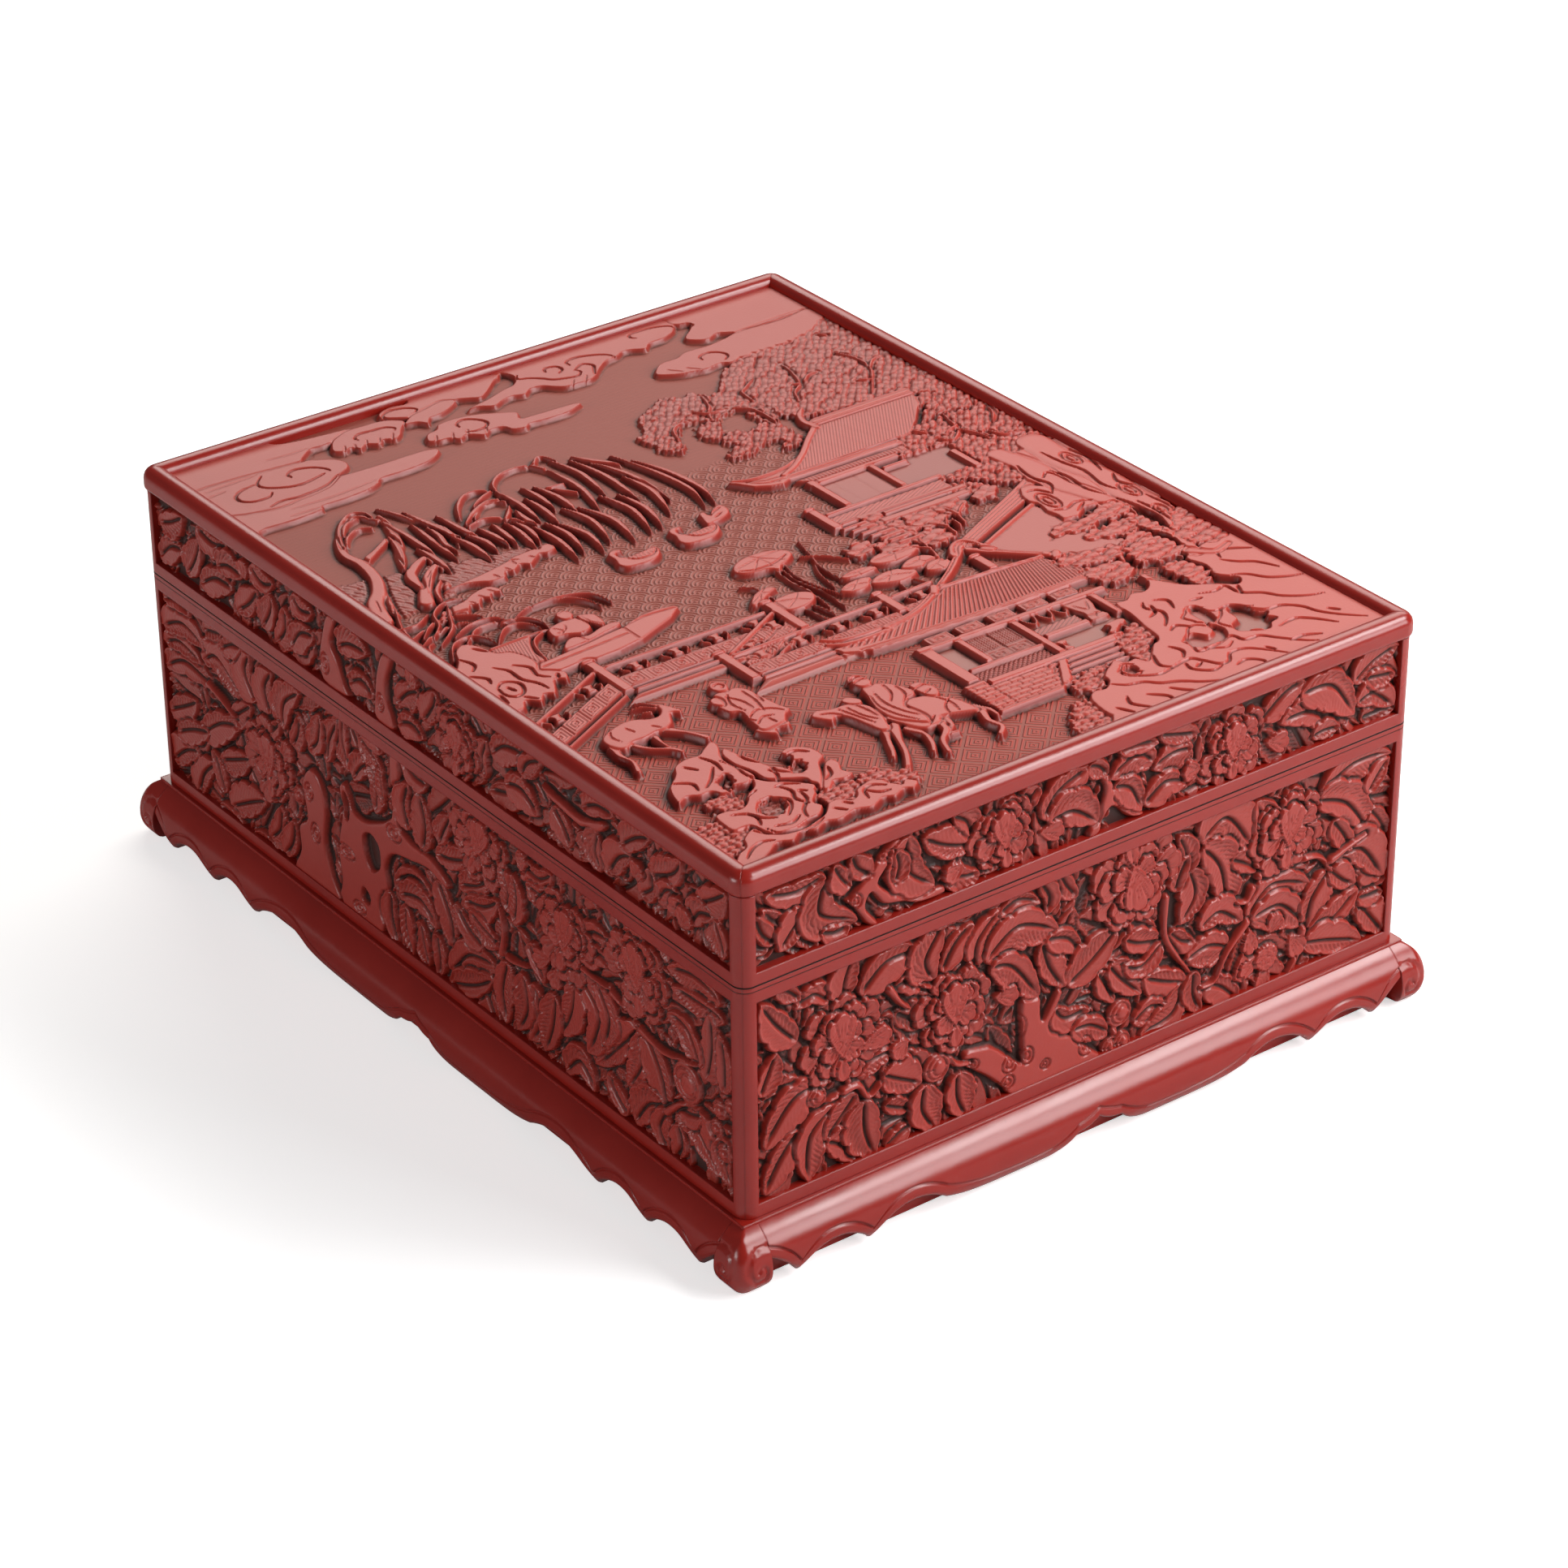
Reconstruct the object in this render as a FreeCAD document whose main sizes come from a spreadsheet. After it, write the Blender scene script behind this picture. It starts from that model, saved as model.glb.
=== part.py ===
# A carved red lacquer box with a lift-off cover: wood core, thick lacquer coats, cusped plinth.
# Millimetres. Origin at the centre of the footprint on the ground, X the width, Y the depth, Z up.
import FreeCAD, Part
import math
import os
import re
import Sketcher

# Driving dimensions. A drop is measured down from the top of its piece, an offset out from the wall.
sizes = {
    "body_width": 290,
    "body_depth": 370,
    "wall_height": 89.3,
    "corner_radius": 5,
    "lacquer": 5,
    "box_board": 7,
    "floor_board": 8,
    "box_lining": 1,
    "underside_coat": 1,
    # plain borders round the sunk panels, and the depth of the carving
    "corner_border": 6,
    "bottom_band": 5,
    "top_band": 6.3,
    "cover_band": 4.5,
    "carve_depth": 3.6,
    "carving_setback": 0.2,
    # ground that the carved forms rise from
    "side_ground": 1.5,
    # lip that centres the cover
    "lip_thickness": 4,
    "lip_rise": 7,
    "lip_seat": 18,
    "lip_clearance": 0.4,
    # cover
    "seam_gap": 0.2,
    "cover_skirt": 33.5,
    "cover_lining": 0.8,
    "top_board": 10,
    "lid_coat": 3.6,
    "lid_carving_depth": 2.9,
    "lid_field": 0.8,
    # rounded rim bead
    "rim_height": 9,
    "rim_overhang": 1,
    "rim_inset": 7.5,
    "rim_outer_round": 4.4,
    "rim_inner_round": 3.5,
    "rim_bottom_round": 2,
    # plinth
    "plinth_height": 23.5,
    "base_rail_offset": 1.5,
    "base_rail_thickness": 12,
    "base_rail_lift": 1,
    "plinth_step": 0.4,
    "bulge_offset": 11,
    "bulge_drop": 14.5,
    "shoulder_offset": 7.8,
    "shoulder_drop": 5.2,
    "ankle_offset": 10,
    "ankle_rise": 4,
    "toe_offset": 6.5,
    "foot_width": 14,
    "foot_corner_radius": 6,
    "foot_toe_round": 3,
    "cut_overrun": 5,
}

# Lower edge of an apron from its middle to the foot: along as a share of the half length between
# the feet, up as a share of the plinth's height. Each entry is a corner, and the point that the arc
# leading to it passes through.
frontArchShares = [
    ((0.000, 0.470), None),
    ((0.068, 0.335), (0.030, 0.370)),
    ((0.150, 0.050), (0.110, 0.150)),
    ((0.320, 0.050), (0.235, 0.043)),
    ((0.470, 0.235), (0.400, 0.110)),
    ((0.694, 0.060), (0.600, 0.420)),
    ((0.905, 0.060), (0.800, 0.390)),
    ((1.000, 0.560), (0.955, 0.390)),
]
sideArchShares = [
    ((0.000, 0.470), None),
    ((0.052, 0.335), (0.023, 0.370)),
    ((0.115, 0.050), (0.085, 0.150)),
    ((0.250, 0.050), (0.180, 0.043)),
    ((0.390, 0.235), (0.330, 0.110)),
    ((0.610, 0.060), (0.510, 0.420)),
    ((0.768, 0.060), (0.689, 0.390)),
    ((0.932, 0.060), (0.850, 0.390)),
    ((1.000, 0.560), (0.968, 0.380)),
]

# Main forms of the carvings, drawn on a panel of the size that each list names, from its centre line
# and its lower edge, or from the middle of the lid. A leaf gives its two ends and its width, a bloom its
# middle and radius, and a slab its corners.
frontForms = {
    "drawn": (139, 78),
    "slabs": """-28,1 -52,19 -50,24 -34,17 -29,22 -27,38 -20,37 -18,26 -12,34 -10,21 5,1""",
    "blooms": """-106,51,9 -60,44,9 20,63,12 94,61,9 82,8,6""",
    "leaves": """-123,57,-137,75,11 -97,65,-71,71,11 -66,58,-61,76,11 -113,36,-135,21,12 -107,25,-117,3,11
        -94,21,-91,3,11 -87,29,-71,20,11 -69,16,-66,3,10 -55,16,-50,3,10 -44,56,-13,58,13 -48,61,-39,73,8
        -43,51,-30,40,9 -8,34,13,47,12 19,46,34,35,8 11,31,25,18,9 46,15,28,23,8 22,7,38,6,7 51,69,71,60,12
        50,61,62,39,9 80,49,77,74,9 106,68,137,72,10 107,64,130,46,11 114,38,137,25,11 75,32,101,34,9
        76,26,101,18,10 54,7,70,2,7 98,8,127,3,8 65,21,47,25,7 128,15,137,8,7""",
}
sideForms = {
    "drawn": (179, 78),
    "slabs": """-60,1 -57,39 -52,45 -46,40 -30,45 -22,53 -22,75 -18,75 -18,45 -2,45 -3,41 -24,37 -30,25 -34,1
        / -90,1 -88,21 -82,39 -74,45 -68,35 -68,1""",
    "blooms": """124,62,12 83,55,8 151,32,7 28,69,8 -108,36,11""",
    "leaves": """172,73,143,72,9 166,41,167,67,9 124,40,101,13,11 130,40,140,15,10 146,15,170,4,9 94,56,110,66,9
        87,42,80,15,10 102,46,100,28,7 64,26,62,3,10 84,2,99,3,3 59,72,76,75,6 -50,77,-46,58,8
        -4,49,-6,70,9 5,51,28,57,8 20,38,43,49,9 50,49,48,68,7 -24,26,1,31,8 -22,18,1,17,6 6,37,12,17,8
        12,4,40,20,10 49,27,46,3,9 -26,15,-24,2,5 -9,12,-4,2,5 -150,60,-124,54,11 -178,47,-152,50,9
        -158,28,-128,40,10 -137,5,-111,17,10 -164,3,-149,16,8 -178,64,-151,67,7 -115,58,-117,76,10
        -103,57,-102,75,8 -93,56,-84,75,8 -178,28,-162,37,8 -109,4,-101,20,8""",
}
coverFrontForms = {
    "drawn": (139, 29),
    "slabs": """-101,11 -92,17 -85,27 -81,27 -87,13 -65,5 -65,2 -90,6 -94,2 -98,6""",
    "blooms": """-40,14,9 64,13,10""",
    "leaves": """-113,26,-136,24,6 -118,14,-129,4,8 -113,22,-104,5,8 -77,26,-67,8,8 -21,14,-4,26,8 -16,9,1,5,7
        10,21,27,19,7 12,13,22,4,7 30,18,46,19,7 27,4,43,8,6 78,20,95,26,6 88,13,107,7,7 97,23,118,11,8
        121,19,137,25,6 121,10,137,4,6""",
}
coverSideForms = {
    "drawn": (179, 29),
    "slabs": """-64,2 -64,18 -60,27 -55,27 -58,16 -50,2 / -29,2 -27,20 -23,27 -19,27 -22,18 -22,2
        / 76,18 108,19 108,15 84,13""",
    "blooms": """-95,12,9 22,12,10 150,14,11""",
    "leaves": """-176,5,-160,12,7 -175,20,-158,25,6 -148,5,-126,10,8 -150,24,-129,25,5 -120,7,-110,17,6
        -80,8,-67,11,6 -48,8,-33,7,7 -52,21,-35,22,6 -15,14,-3,23,7 42,18,62,24,7 50,8,68,7,7
        112,7,124,16,6 165,17,176,25,6 167,12,174,3,6 126,22,135,26,4""",
}
lidForms = {
    "drawn": (137.5, 177.5),
    "clouds": """-137.5,118 -106,118 -60,127 -47,134 -56,138 -92,140 -81,148 -84,155 -95,158 -80,166 -88,173
        -97,177.5 -137.5,177.5 / -79,158 -70,153 -55,152 -44,162 -50,168 -72,167 / -50,172 -38,164 -10,163
        5,174 3,177.5 -44,177.5 / -20,157 5,155 21,150 36,152 52,161 76,163 87,172 90,177.5 11,177.5
        10,170 0,163.5 / 84,157 90,152.5 137.5,151 137.5,177.5 97,177.5 92,168 / 54,139 68,131.5 102,129
        137.5,131 137.5,148 104,149 69,146 / -47,143 -32,138.5 -16,132 17,135 -3,138 -15,149 -36,153""",
    "trees": """16,97 26,111 45,120 60,112 75,125 92,127 137.5,127 137.5,45 124,46 127,73 80,76 64,94 40,96
        26,90 / 36,64 48,65 58,60 66,66 62,80 44,80 / 107,2 108,26 112,40 137.5,42 137.5,2 / 110,-2 137.5,-2
        137.5,-94 118,-98 104,-78 98,-52 97,-30 104,-22 / 52,-16 92,-12 95,-30 62,-43 50,-38
        / -137.5,32 -130,34 -124,52 -119,75 -109,100 -116,97 -123,76 -130,54 -137.5,44
        / -110,38 -62,46 -66,41 -92,34""",
    "houses": """20,46 31,34 92,33.5 108,46 121,66 121,71 75,71 54,47.5 40,42 / 42,3 104,3 104,28 42,28
        / 28,0 86,0 86,-9 46,-10 40,-30 33,-30 27,-10 / -27,-79 12,-76 30,-66 54,-46 60,-47 77,-70 82,-91
        0,-89 -20,-87 / 67,-53 92,-36 94,-50 97,-62 88,-80 82,-73 / -6,-93 74,-94 74,-102 -6,-101
        / -9,-127 58,-128 40,-142 20,-149 -9,-149 / 12,-104 32,-104 32,-120 12,-120
        / 36,-107 64,-107 64,-117 36,-117""",
    "bridges": """-96,-42 -28,-43 -28,-58 -60,-58 -62,-67 -104,-67 / -57,-62 22,-61.5 8,-73 -30,-76 -34,-86
        -66,-87 / -137.5,-61 -104,-43 -106,-58 -137.5,-76 / -114,-31 -100,-24 -97,-8 -80,-6 -75,-18 -52,-19
        -60,-29 -95,-36""",
    "rocks": """-137.5,-14 -127,0 -122,-10 -120,-29 -108,-38 -122,-47 -137.5,-48 / -131,-132 -118,-112
        -98,-106 -93,-128 -76,-125 -74,-136 -88,-148 -98,-142 -102,-134 -112,-138 / -137.5,-150 -113,-145
        -96,-157 -78,-152 -60,-153 -60,-169 -100,-172 -137.5,-176 / 20,-177.5 18,-162 36,-147 57,-146
        67,-135 70,-113 90,-106 110,-120 113,-104 137.5,-99 137.5,-177.5""",
    "figures": """-127,-86 -114,-77 -97,-74 -94,-83 -109,-90 -126,-91 / -82,-84 -76,-73 -70,-76 -64,-104
        -72,-113 -82,-108 / -62,-113 -52,-111 -37,-100 -30,-101 -17,-118 -15,-142 -19,-159 -22,-143
        -31,-142 -41,-158 -38,-143 -57,-158 -46,-135 -53,-120 / -49,18 -45,28 -38,21 -30,19 -40,12
        / -22,20 -17,29 -10,23 -3,21 -12,14""",
    "blooms": "-8,-12,9 33,-40,6 -15,-43,6 22,-50,7",
    "leaves": """-94,104,-93,54,7 -82,94,-81,50,7 -70,86,-70,50,7 -58,84,-57,50,7 -46,92,-46,34,7
        -34,88,-35,34,7 -22,100,-22,36,7 -9,92,-8,42,7 5,84,6,40,7""",
}

# Derived levels and distances, as formulas in the names above.
wallBase = "plinth_height"
seam = "(plinth_height + wall_height)"
coverBase = "(plinth_height + wall_height + seam_gap)"
skirtTop = "(plinth_height + wall_height + seam_gap + cover_skirt)"
coverBoardTop = "(plinth_height + wall_height + seam_gap + cover_skirt - top_board)"
coverBoard = "(box_board - cover_lining - lip_clearance)"
diagonal = "sin(45 deg)"
halfDiagonalSin = "sin(22.5 deg)"
halfDiagonalCos = "cos(22.5 deg)"

# The four sides, each drawn as the front and turned about the vertical by one quarter turn more than
# the last: half length along the side, distance of the wall from the centre, the corner at its right
# end, and whether it stands between the two sides that run the whole width.
sides = {
    "front": ("body_width / 2", "body_depth / 2", "front_right", False),
    "right": ("body_depth / 2", "body_width / 2", "back_right", True),
    "back": ("body_width / 2", "body_depth / 2", "back_left", False),
    "left": ("body_depth / 2", "body_width / 2", "front_left", True),
}

doc = FreeCAD.newDocument("lacquer_box")
sheet = doc.addObject("Spreadsheet::Sheet", "Sizes")
for row, (alias, value) in enumerate(sizes.items(), start=1):
    sheet.set("A%d" % row, alias)
    sheet.set("B%d" % row, str(value))
    sheet.setAlias("B%d" % row, alias)
doc.recompute()

pieces = []
sameSpot = 1e-6


def bound(formula):
    # a formula in the sheet's names, as an expression that points to the sheet
    return re.sub(r"[a-z]+_[a-z_]+|\blacquer\b", lambda word: "Sizes." + word.group(0), formula)


def amount(formula):
    found = sheet.evalExpression(bound(formula))
    return float(getattr(found, "Value", found))


def bind(thing, settings):
    for path, formula in settings.items():
        thing.setExpression(path, bound(formula))


def turned(x, y, quarters):
    # formulas of a point after so many quarter turns about the vertical
    for quarter in range(quarters):
        x, y = "-(%s)" % y, x
    return x, y


def placed(quarters):
    upright = FreeCAD.Vector(0, 0, 1)
    return FreeCAD.Placement(FreeCAD.Vector(), FreeCAD.Rotation(upright, quarters * 90))


def block(name, length, width, height, x, y, z, quarters=0):
    # a board: its corner with the lowest x, y and z stands at x, y, z before the turns
    piece = doc.addObject("Part::Box", name)
    bind(piece, {"Length": length, "Width": width, "Height": height})
    piece.Placement = placed(quarters)
    placeX, placeY = turned(x, y, quarters)
    bind(piece, {"Placement.Base.x": placeX, "Placement.Base.y": placeY, "Placement.Base.z": z})
    pieces.append(piece)
    return piece


def newBody(name, quarters=0):
    body = doc.addObject("PartDesign::Body", name)
    body.Placement = placed(quarters)
    pieces.append(body)
    return body


def outlineSketch(body, name, role, outline, offset=None):
    # a closed outline on one of the body's origin planes. Each entry is a corner and the point that
    # the arc leading to it passes through, or None for a straight edge.
    sketch = body.newObject("Sketcher::SketchObject", name)
    plane = [feature for feature in body.Origin.OriginFeatures if feature.Role == role][0]
    sketch.AttachmentSupport = [(plane, "")]
    sketch.MapMode = "FlatFace"
    if offset:
        bind(sketch, {"AttachmentOffset.Base.z": offset})
    spots = [FreeCAD.Vector(amount(spot[0]), amount(spot[1]), 0) for spot, through in outline]
    edges = []
    for index, (spot, through) in enumerate(outline):
        start = spots[index - 1]
        if through is None:
            edges.append((sketch.addGeometry(Part.LineSegment(start, spots[index])), 2))
            continue
        middle = FreeCAD.Vector(amount(through[0]), amount(through[1]), 0)
        # an arc runs anticlockwise in a sketch, so one drawn the other way ends at its first point
        clockwise = (middle - start).cross(spots[index] - middle).z < 0
        if clockwise:
            found = sketch.addGeometry(Part.Arc(spots[index], middle, start))
        else:
            found = sketch.addGeometry(Part.Arc(start, middle, spots[index]))
        edges.append((found, 1 if clockwise else 2))
        pin = sketch.addGeometry(Part.Point(middle), True)
        sketch.addConstraint(Sketcher.Constraint("PointOnObject", pin, 1, found))
        fixPoint(sketch, pin, 1, middle, through)
    for index, (edge, end) in enumerate(edges):
        following, followingEnd = edges[(index + 1) % len(edges)]
        sketch.addConstraint(Sketcher.Constraint("Coincident", edge, end, following, 3 - followingEnd))
        fixPoint(sketch, edge, end, spots[index], outline[index][0])
    return sketch


def fixPoint(sketch, edge, end, spot, formulas):
    for kind, value, formula in (("DistanceX", spot.x, formulas[0]), ("DistanceY", spot.y, formulas[1])):
        number = sketch.addConstraint(Sketcher.Constraint(kind, edge, end, value))
        sketch.setExpression("Constraints[%d]" % number, bound(formula))


def pad(body, sketch, length, midplane=False):
    feature = body.newObject("PartDesign::Pad", body.Name + "_pad")
    feature.Profile = sketch
    feature.Midplane = midplane
    bind(feature, {"Length": length})
    return feature


def pocket(body, sketch, length=None):
    # a cut to a depth, or right through both ways where no depth is given
    feature = body.newObject("PartDesign::Pocket", sketch.Name + "_cut")
    feature.Profile = sketch
    if length is None:
        feature.Type = "ThroughAll"
        feature.Midplane = True
    else:
        bind(feature, {"Length": length})
    return feature


def rounded(body, feature, radius, picks):
    # fillets on the edges that picks accepts, given the middle and the edge
    doc.recompute()
    names = []
    for number, edge in enumerate(feature.Shape.Edges, start=1):
        middle = edge.valueAt((edge.FirstParameter + edge.LastParameter) / 2)
        if picks(middle, edge):
            names.append("Edge%d" % number)
    fillet = body.newObject("PartDesign::Fillet", body.Name + "_round%d" % len(body.Group))
    fillet.Base = (feature, names)
    bind(fillet, {"Radius": radius})
    return fillet


def corner(x, y, through=None):
    return ((x, y), through)


def rectangle(x0, y0, x1, y1):
    return [corner(x0, y0), corner(x1, y0), corner(x1, y1), corner(x0, y1)]


def mitredPlan(half, wall, offset, radius, depth):
    # plan of a strip along one side: outer face at offset from the wall, round outer corners of
    # radius about the wall's own corner centre, mitred ends, inner face at depth inside the wall
    centreX = "(%s - corner_radius)" % half
    centreY = "(%s - corner_radius)" % wall
    endX = "%s + %s * %s" % (centreX, radius, diagonal)
    endY = "-(%s + %s * %s)" % (centreY, radius, diagonal)
    throughX = "%s + %s * %s" % (centreX, radius, halfDiagonalSin)
    throughY = "-(%s + %s * %s)" % (centreY, radius, halfDiagonalCos)
    face = "-(%s + %s)" % (wall, offset)
    return [
        corner("-(%s - %s)" % (half, depth), "-(%s - %s)" % (wall, depth)),
        corner("-(%s)" % endX, endY),
        corner("-" + centreX, face, ("-(%s)" % throughX, throughY)),
        corner(centreX, face),
        corner(endX, endY, (throughX, throughY)),
        corner("%s - %s" % (half, depth), "-(%s - %s)" % (wall, depth)),
    ]


def profilePoints(wall, side):
    # outer profile of the plinth in the wall's own section: out and up, from the top down
    spots = {
        "top": ("base_rail_offset", "plinth_height - plinth_step"),
        "shoulder": ("shoulder_offset", "plinth_height - shoulder_drop"),
        "bulge": ("bulge_offset", "plinth_height - bulge_drop"),
        "ankle": ("ankle_offset", "ankle_rise"),
        "toe": ("toe_offset", "0"),
    }
    return {name: ("%s(%s + %s)" % (side, wall, out), up) for name, (out, up) in spots.items()}


def makeApron(name, half, wall, quarters, archShares):
    body = newBody(name, quarters)
    spots = profilePoints(wall, "-")
    profile = [
        corner(spots["top"][0], "0"),
        corner(*spots["top"]),
        corner(*spots["bulge"], spots["shoulder"]),
        corner(*spots["toe"], spots["ankle"]),
    ]
    section = outlineSketch(body, name + "_section", "YZ_Plane", profile)
    span = "(%s + bulge_offset - foot_width)" % half
    pad(body, section, "2 * " + span, midplane=True)
    rightHalf = [archPoint(spot, through, span, 1) for spot, through in archShares]
    leftHalf = [archPoint(spot, through, span, -1) for spot, through in archShares]
    outline = [corner(span, "-cut_overrun"), corner(*rightHalf[-1][0])]
    # from the right foot to the middle, then on to the left foot
    for index in range(len(rightHalf) - 1, 0, -1):
        outline.append((rightHalf[index - 1][0], rightHalf[index][1]))
    outline.extend(leftHalf[1:])
    outline.append(corner("-" + span, "-cut_overrun"))
    arches = outlineSketch(body, name + "_arches", "XZ_Plane", outline)
    pocket(body, arches)
    return body


def archPoint(spot, through, span, way):
    def formulas(point):
        return ("%g * %s" % (way * point[0], span), "%g * plinth_height" % point[1])
    return (formulas(spot), formulas(through) if through else None)


def makeFoot(name, half, wall, quarters):
    # corner foot wrapped round the base rails: an upright of that plan, cut to the plinth's profile
    # on both of its outer faces
    body = newBody(name, quarters)
    outX = "(%s + bulge_offset)" % half
    outY = "(%s + bulge_offset)" % wall
    inX = "(%s - foot_width)" % outX
    inY = "(%s - foot_width)" % outY
    railX = "(%s + base_rail_offset)" % half
    railY = "(%s + base_rail_offset)" % wall
    roundX = "%s - foot_corner_radius" % outX
    roundY = "-(%s - foot_corner_radius)" % outY
    through = ("%s + foot_corner_radius * %s" % (roundX, diagonal),
               "%s - foot_corner_radius * %s" % (roundY, diagonal))
    plan = [
        corner(inX, "-" + railY),
        corner(inX, "-" + outY),
        corner(roundX, "-" + outY),
        corner(outX, roundY, through),
        corner(outX, "-" + inY),
        corner(railX, "-" + inY),
        corner(railX, "-" + railY),
    ]
    pad(body, outlineSketch(body, name + "_plan", "XY_Plane", plan), "plinth_height")
    for role, distance, side in (("YZ_Plane", wall, "-"), ("XZ_Plane", half, "")):
        spots = profilePoints(distance, side)
        away = "%s(%s + bulge_offset + cut_overrun)" % (side, distance)
        waste = [
            corner(spots["top"][0], "plinth_height + cut_overrun"),
            corner(*spots["top"]),
            corner(*spots["bulge"], spots["shoulder"]),
            corner(*spots["toe"], spots["ankle"]),
            corner(spots["toe"][0], "-cut_overrun"),
            corner(away, "-cut_overrun"),
            corner(away, "plinth_height + cut_overrun"),
        ]
        cut = pocket(body, outlineSketch(body, name + "_waste_" + role[:2], role, waste))
    innerX = amount(inX)
    innerY = -amount(inY)

    def innerToe(middle, edge):
        low = edge.BoundBox.ZMax < sameSpot
        return low and (abs(middle.x - innerX) < sameSpot or abs(middle.y - innerY) < sameSpot)

    rounded(body, cut, "foot_toe_round", innerToe)


def makeCoat(name, half, wall, quarters, base, height, panelBase, panelHeight):
    # one side's lacquer coat with a sunk panel between plain borders
    body = newBody(name, quarters)
    plan = mitredPlan(half, wall, "0", "corner_radius", "lacquer")
    sketch = outlineSketch(body, name + "_plan", "XY_Plane", plan, offset=base)
    pad(body, sketch, height)
    reach = "(%s - corner_border)" % half
    panel = rectangle("-" + reach, panelBase, reach, "%s + %s" % (panelBase, panelHeight))
    pocket(body, outlineSketch(body, name + "_panel", "XZ_Plane", panel, offset=wall), "carve_depth")
    return body


def leafOutline(x0, y0, x1, y1, width):
    # two arcs between the ends
    run = FreeCAD.Vector(x1 - x0, y1 - y0, 0)
    away = FreeCAD.Vector(-run.y, run.x, 0) * (width / 2 / run.Length)
    middle = FreeCAD.Vector((x0 + x1) / 2, (y0 + y1) / 2, 0)
    return [((x0, y0), tuple(middle + away)[:2]), ((x1, y1), tuple(middle - away)[:2])]


def bloomOutline(x, y, radius):
    # five round lobes
    def spot(step, reach):
        angle = math.radians(90 + 36 * step)
        return (x + radius * reach * math.cos(angle), y + radius * reach * math.sin(angle))
    return [(spot(2 * lobe + 1, 0.72), spot(2 * lobe, 1)) for lobe in range(5)]


def slabOutline(text):
    return [(tuple(float(value) for value in pair.split(",")), None) for pair in text.split()]


def formOutlines(forms, groups, mirror):
    # the outlines of these groups, as shares of the panel that they are drawn on
    found = []
    for group in groups:
        text = forms[group]
        if group == "leaves":
            found += [leafOutline(*(float(value) for value in row.split(","))) for row in text.split()]
        elif group == "blooms":
            found += [bloomOutline(*(float(value) for value in row.split(","))) for row in text.split()]
        else:
            found += [slabOutline(part) for part in text.split("/")]
    width, height = forms["drawn"]

    def share(spot):
        return (mirror * spot[0] / width, spot[1] / height) if spot else None
    return [[(share(spot), share(through)) for spot, through in outline] for outline in found]


def padForms(body, name, role, outlines, spanX, spanY, startY, offset, length):
    # the outlines in sketches of a few each, and a pad of every sketch
    batch, edges = [], 0
    for number, outline in enumerate(outlines):
        batch.append(outline)
        edges += len(outline)
        if edges > 9 or number == len(outlines) - 1:
            sketch = formsSketch(body, "%s_%d" % (name, number), role, batch, spanX, spanY, startY, offset)
            padNamed(body, sketch, length)
            batch, edges = [], 0


def formsSketch(body, name, role, outlines, spanX, spanY, startY, offset):
    # closed outlines in one sketch, each point at its share of the spans
    sketch = body.newObject("Sketcher::SketchObject", name)
    plane = [feature for feature in body.Origin.OriginFeatures if feature.Role == role][0]
    sketch.AttachmentSupport = [(plane, "")]
    sketch.MapMode = "FlatFace"
    bind(sketch, {"AttachmentOffset.Base.z": offset})

    def formulas(spot):
        return ("%.5f * %s" % (spot[0], spanX), "%.5f * %s + %s" % (spot[1], spanY, startY))

    edges, pins, rules, driven = [], [], [], []
    reachX, reachY, low = amount(spanX), amount(spanY), amount(startY)

    def vector(spot):
        return FreeCAD.Vector(round(spot[0], 5) * reachX, round(spot[1], 5) * reachY + low, 0)

    for outline in outlines:
        first = len(edges)
        ends = []
        for index, (spot, through) in enumerate(outline):
            start, end = vector(outline[index - 1][0]), vector(spot)
            if through is None:
                edges.append(Part.LineSegment(start, end))
                ends.append(2)
                continue
            middle = vector(through)
            clockwise = (middle - start).cross(end - middle).z < 0
            edges.append(Part.Arc(end, middle, start) if clockwise else Part.Arc(start, middle, end))
            ends.append(1 if clockwise else 2)
            pins.append((len(edges) - 1, middle, through))
        for index, end in enumerate(ends):
            edge, following = first + index, first + (index + 1) % len(ends)
            rules.append(Sketcher.Constraint("Coincident", edge, end, following, 3 - ends[(index + 1) % len(ends)]))
            driven.append((edge, end, vector(outline[index][0]), formulas(outline[index][0])))
    sketch.addGeometry(edges)
    for edge, middle, through in pins:
        pin = sketch.addGeometry(Part.Point(middle), True)
        rules.append(Sketcher.Constraint("PointOnObject", pin, 1, edge))
        driven.append((pin, 1, middle, formulas(through)))
    named = []
    for edge, end, spot, (formulaX, formulaY) in driven:
        for kind, value, formula in (("DistanceX", spot.x, formulaX), ("DistanceY", spot.y, formulaY)):
            named.append((len(rules), formula))
            rules.append(Sketcher.Constraint(kind, edge, end, value))
    sketch.addConstraint(rules)
    for number, formula in named:
        sketch.setExpression("Constraints[%d]" % number, bound(formula))
    return sketch


def padNamed(body, sketch, length):
    feature = body.newObject("PartDesign::Pad", sketch.Name + "_pad")
    feature.Profile = sketch
    bind(feature, {"Length": length})


def makeCarving(name, half, wall, quarters, base, height, forms):
    # the carved layer of a panel: its ground, and the trunks, flowers and leaves that stand on it. The
    # back and the right side are mirror images of the front and the left one.
    body = newBody(name, quarters)
    reach = "(%s - corner_border)" % half
    foot = "%s - carve_depth" % wall
    ground = outlineSketch(body, name + "_ground", "XZ_Plane",
                           rectangle("-" + reach, base, reach, "%s + %s" % (base, height)), offset=foot)
    padNamed(body, ground, "side_ground")
    mirror = -1 if quarters in (1, 2) else 1
    for group in ("slabs", "blooms", "leaves"):
        outlines = formOutlines(forms, (group,), mirror)
        padForms(body, name + "_" + group, "XZ_Plane", outlines, reach, height, base, foot,
                 "carve_depth - carving_setback")


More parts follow.
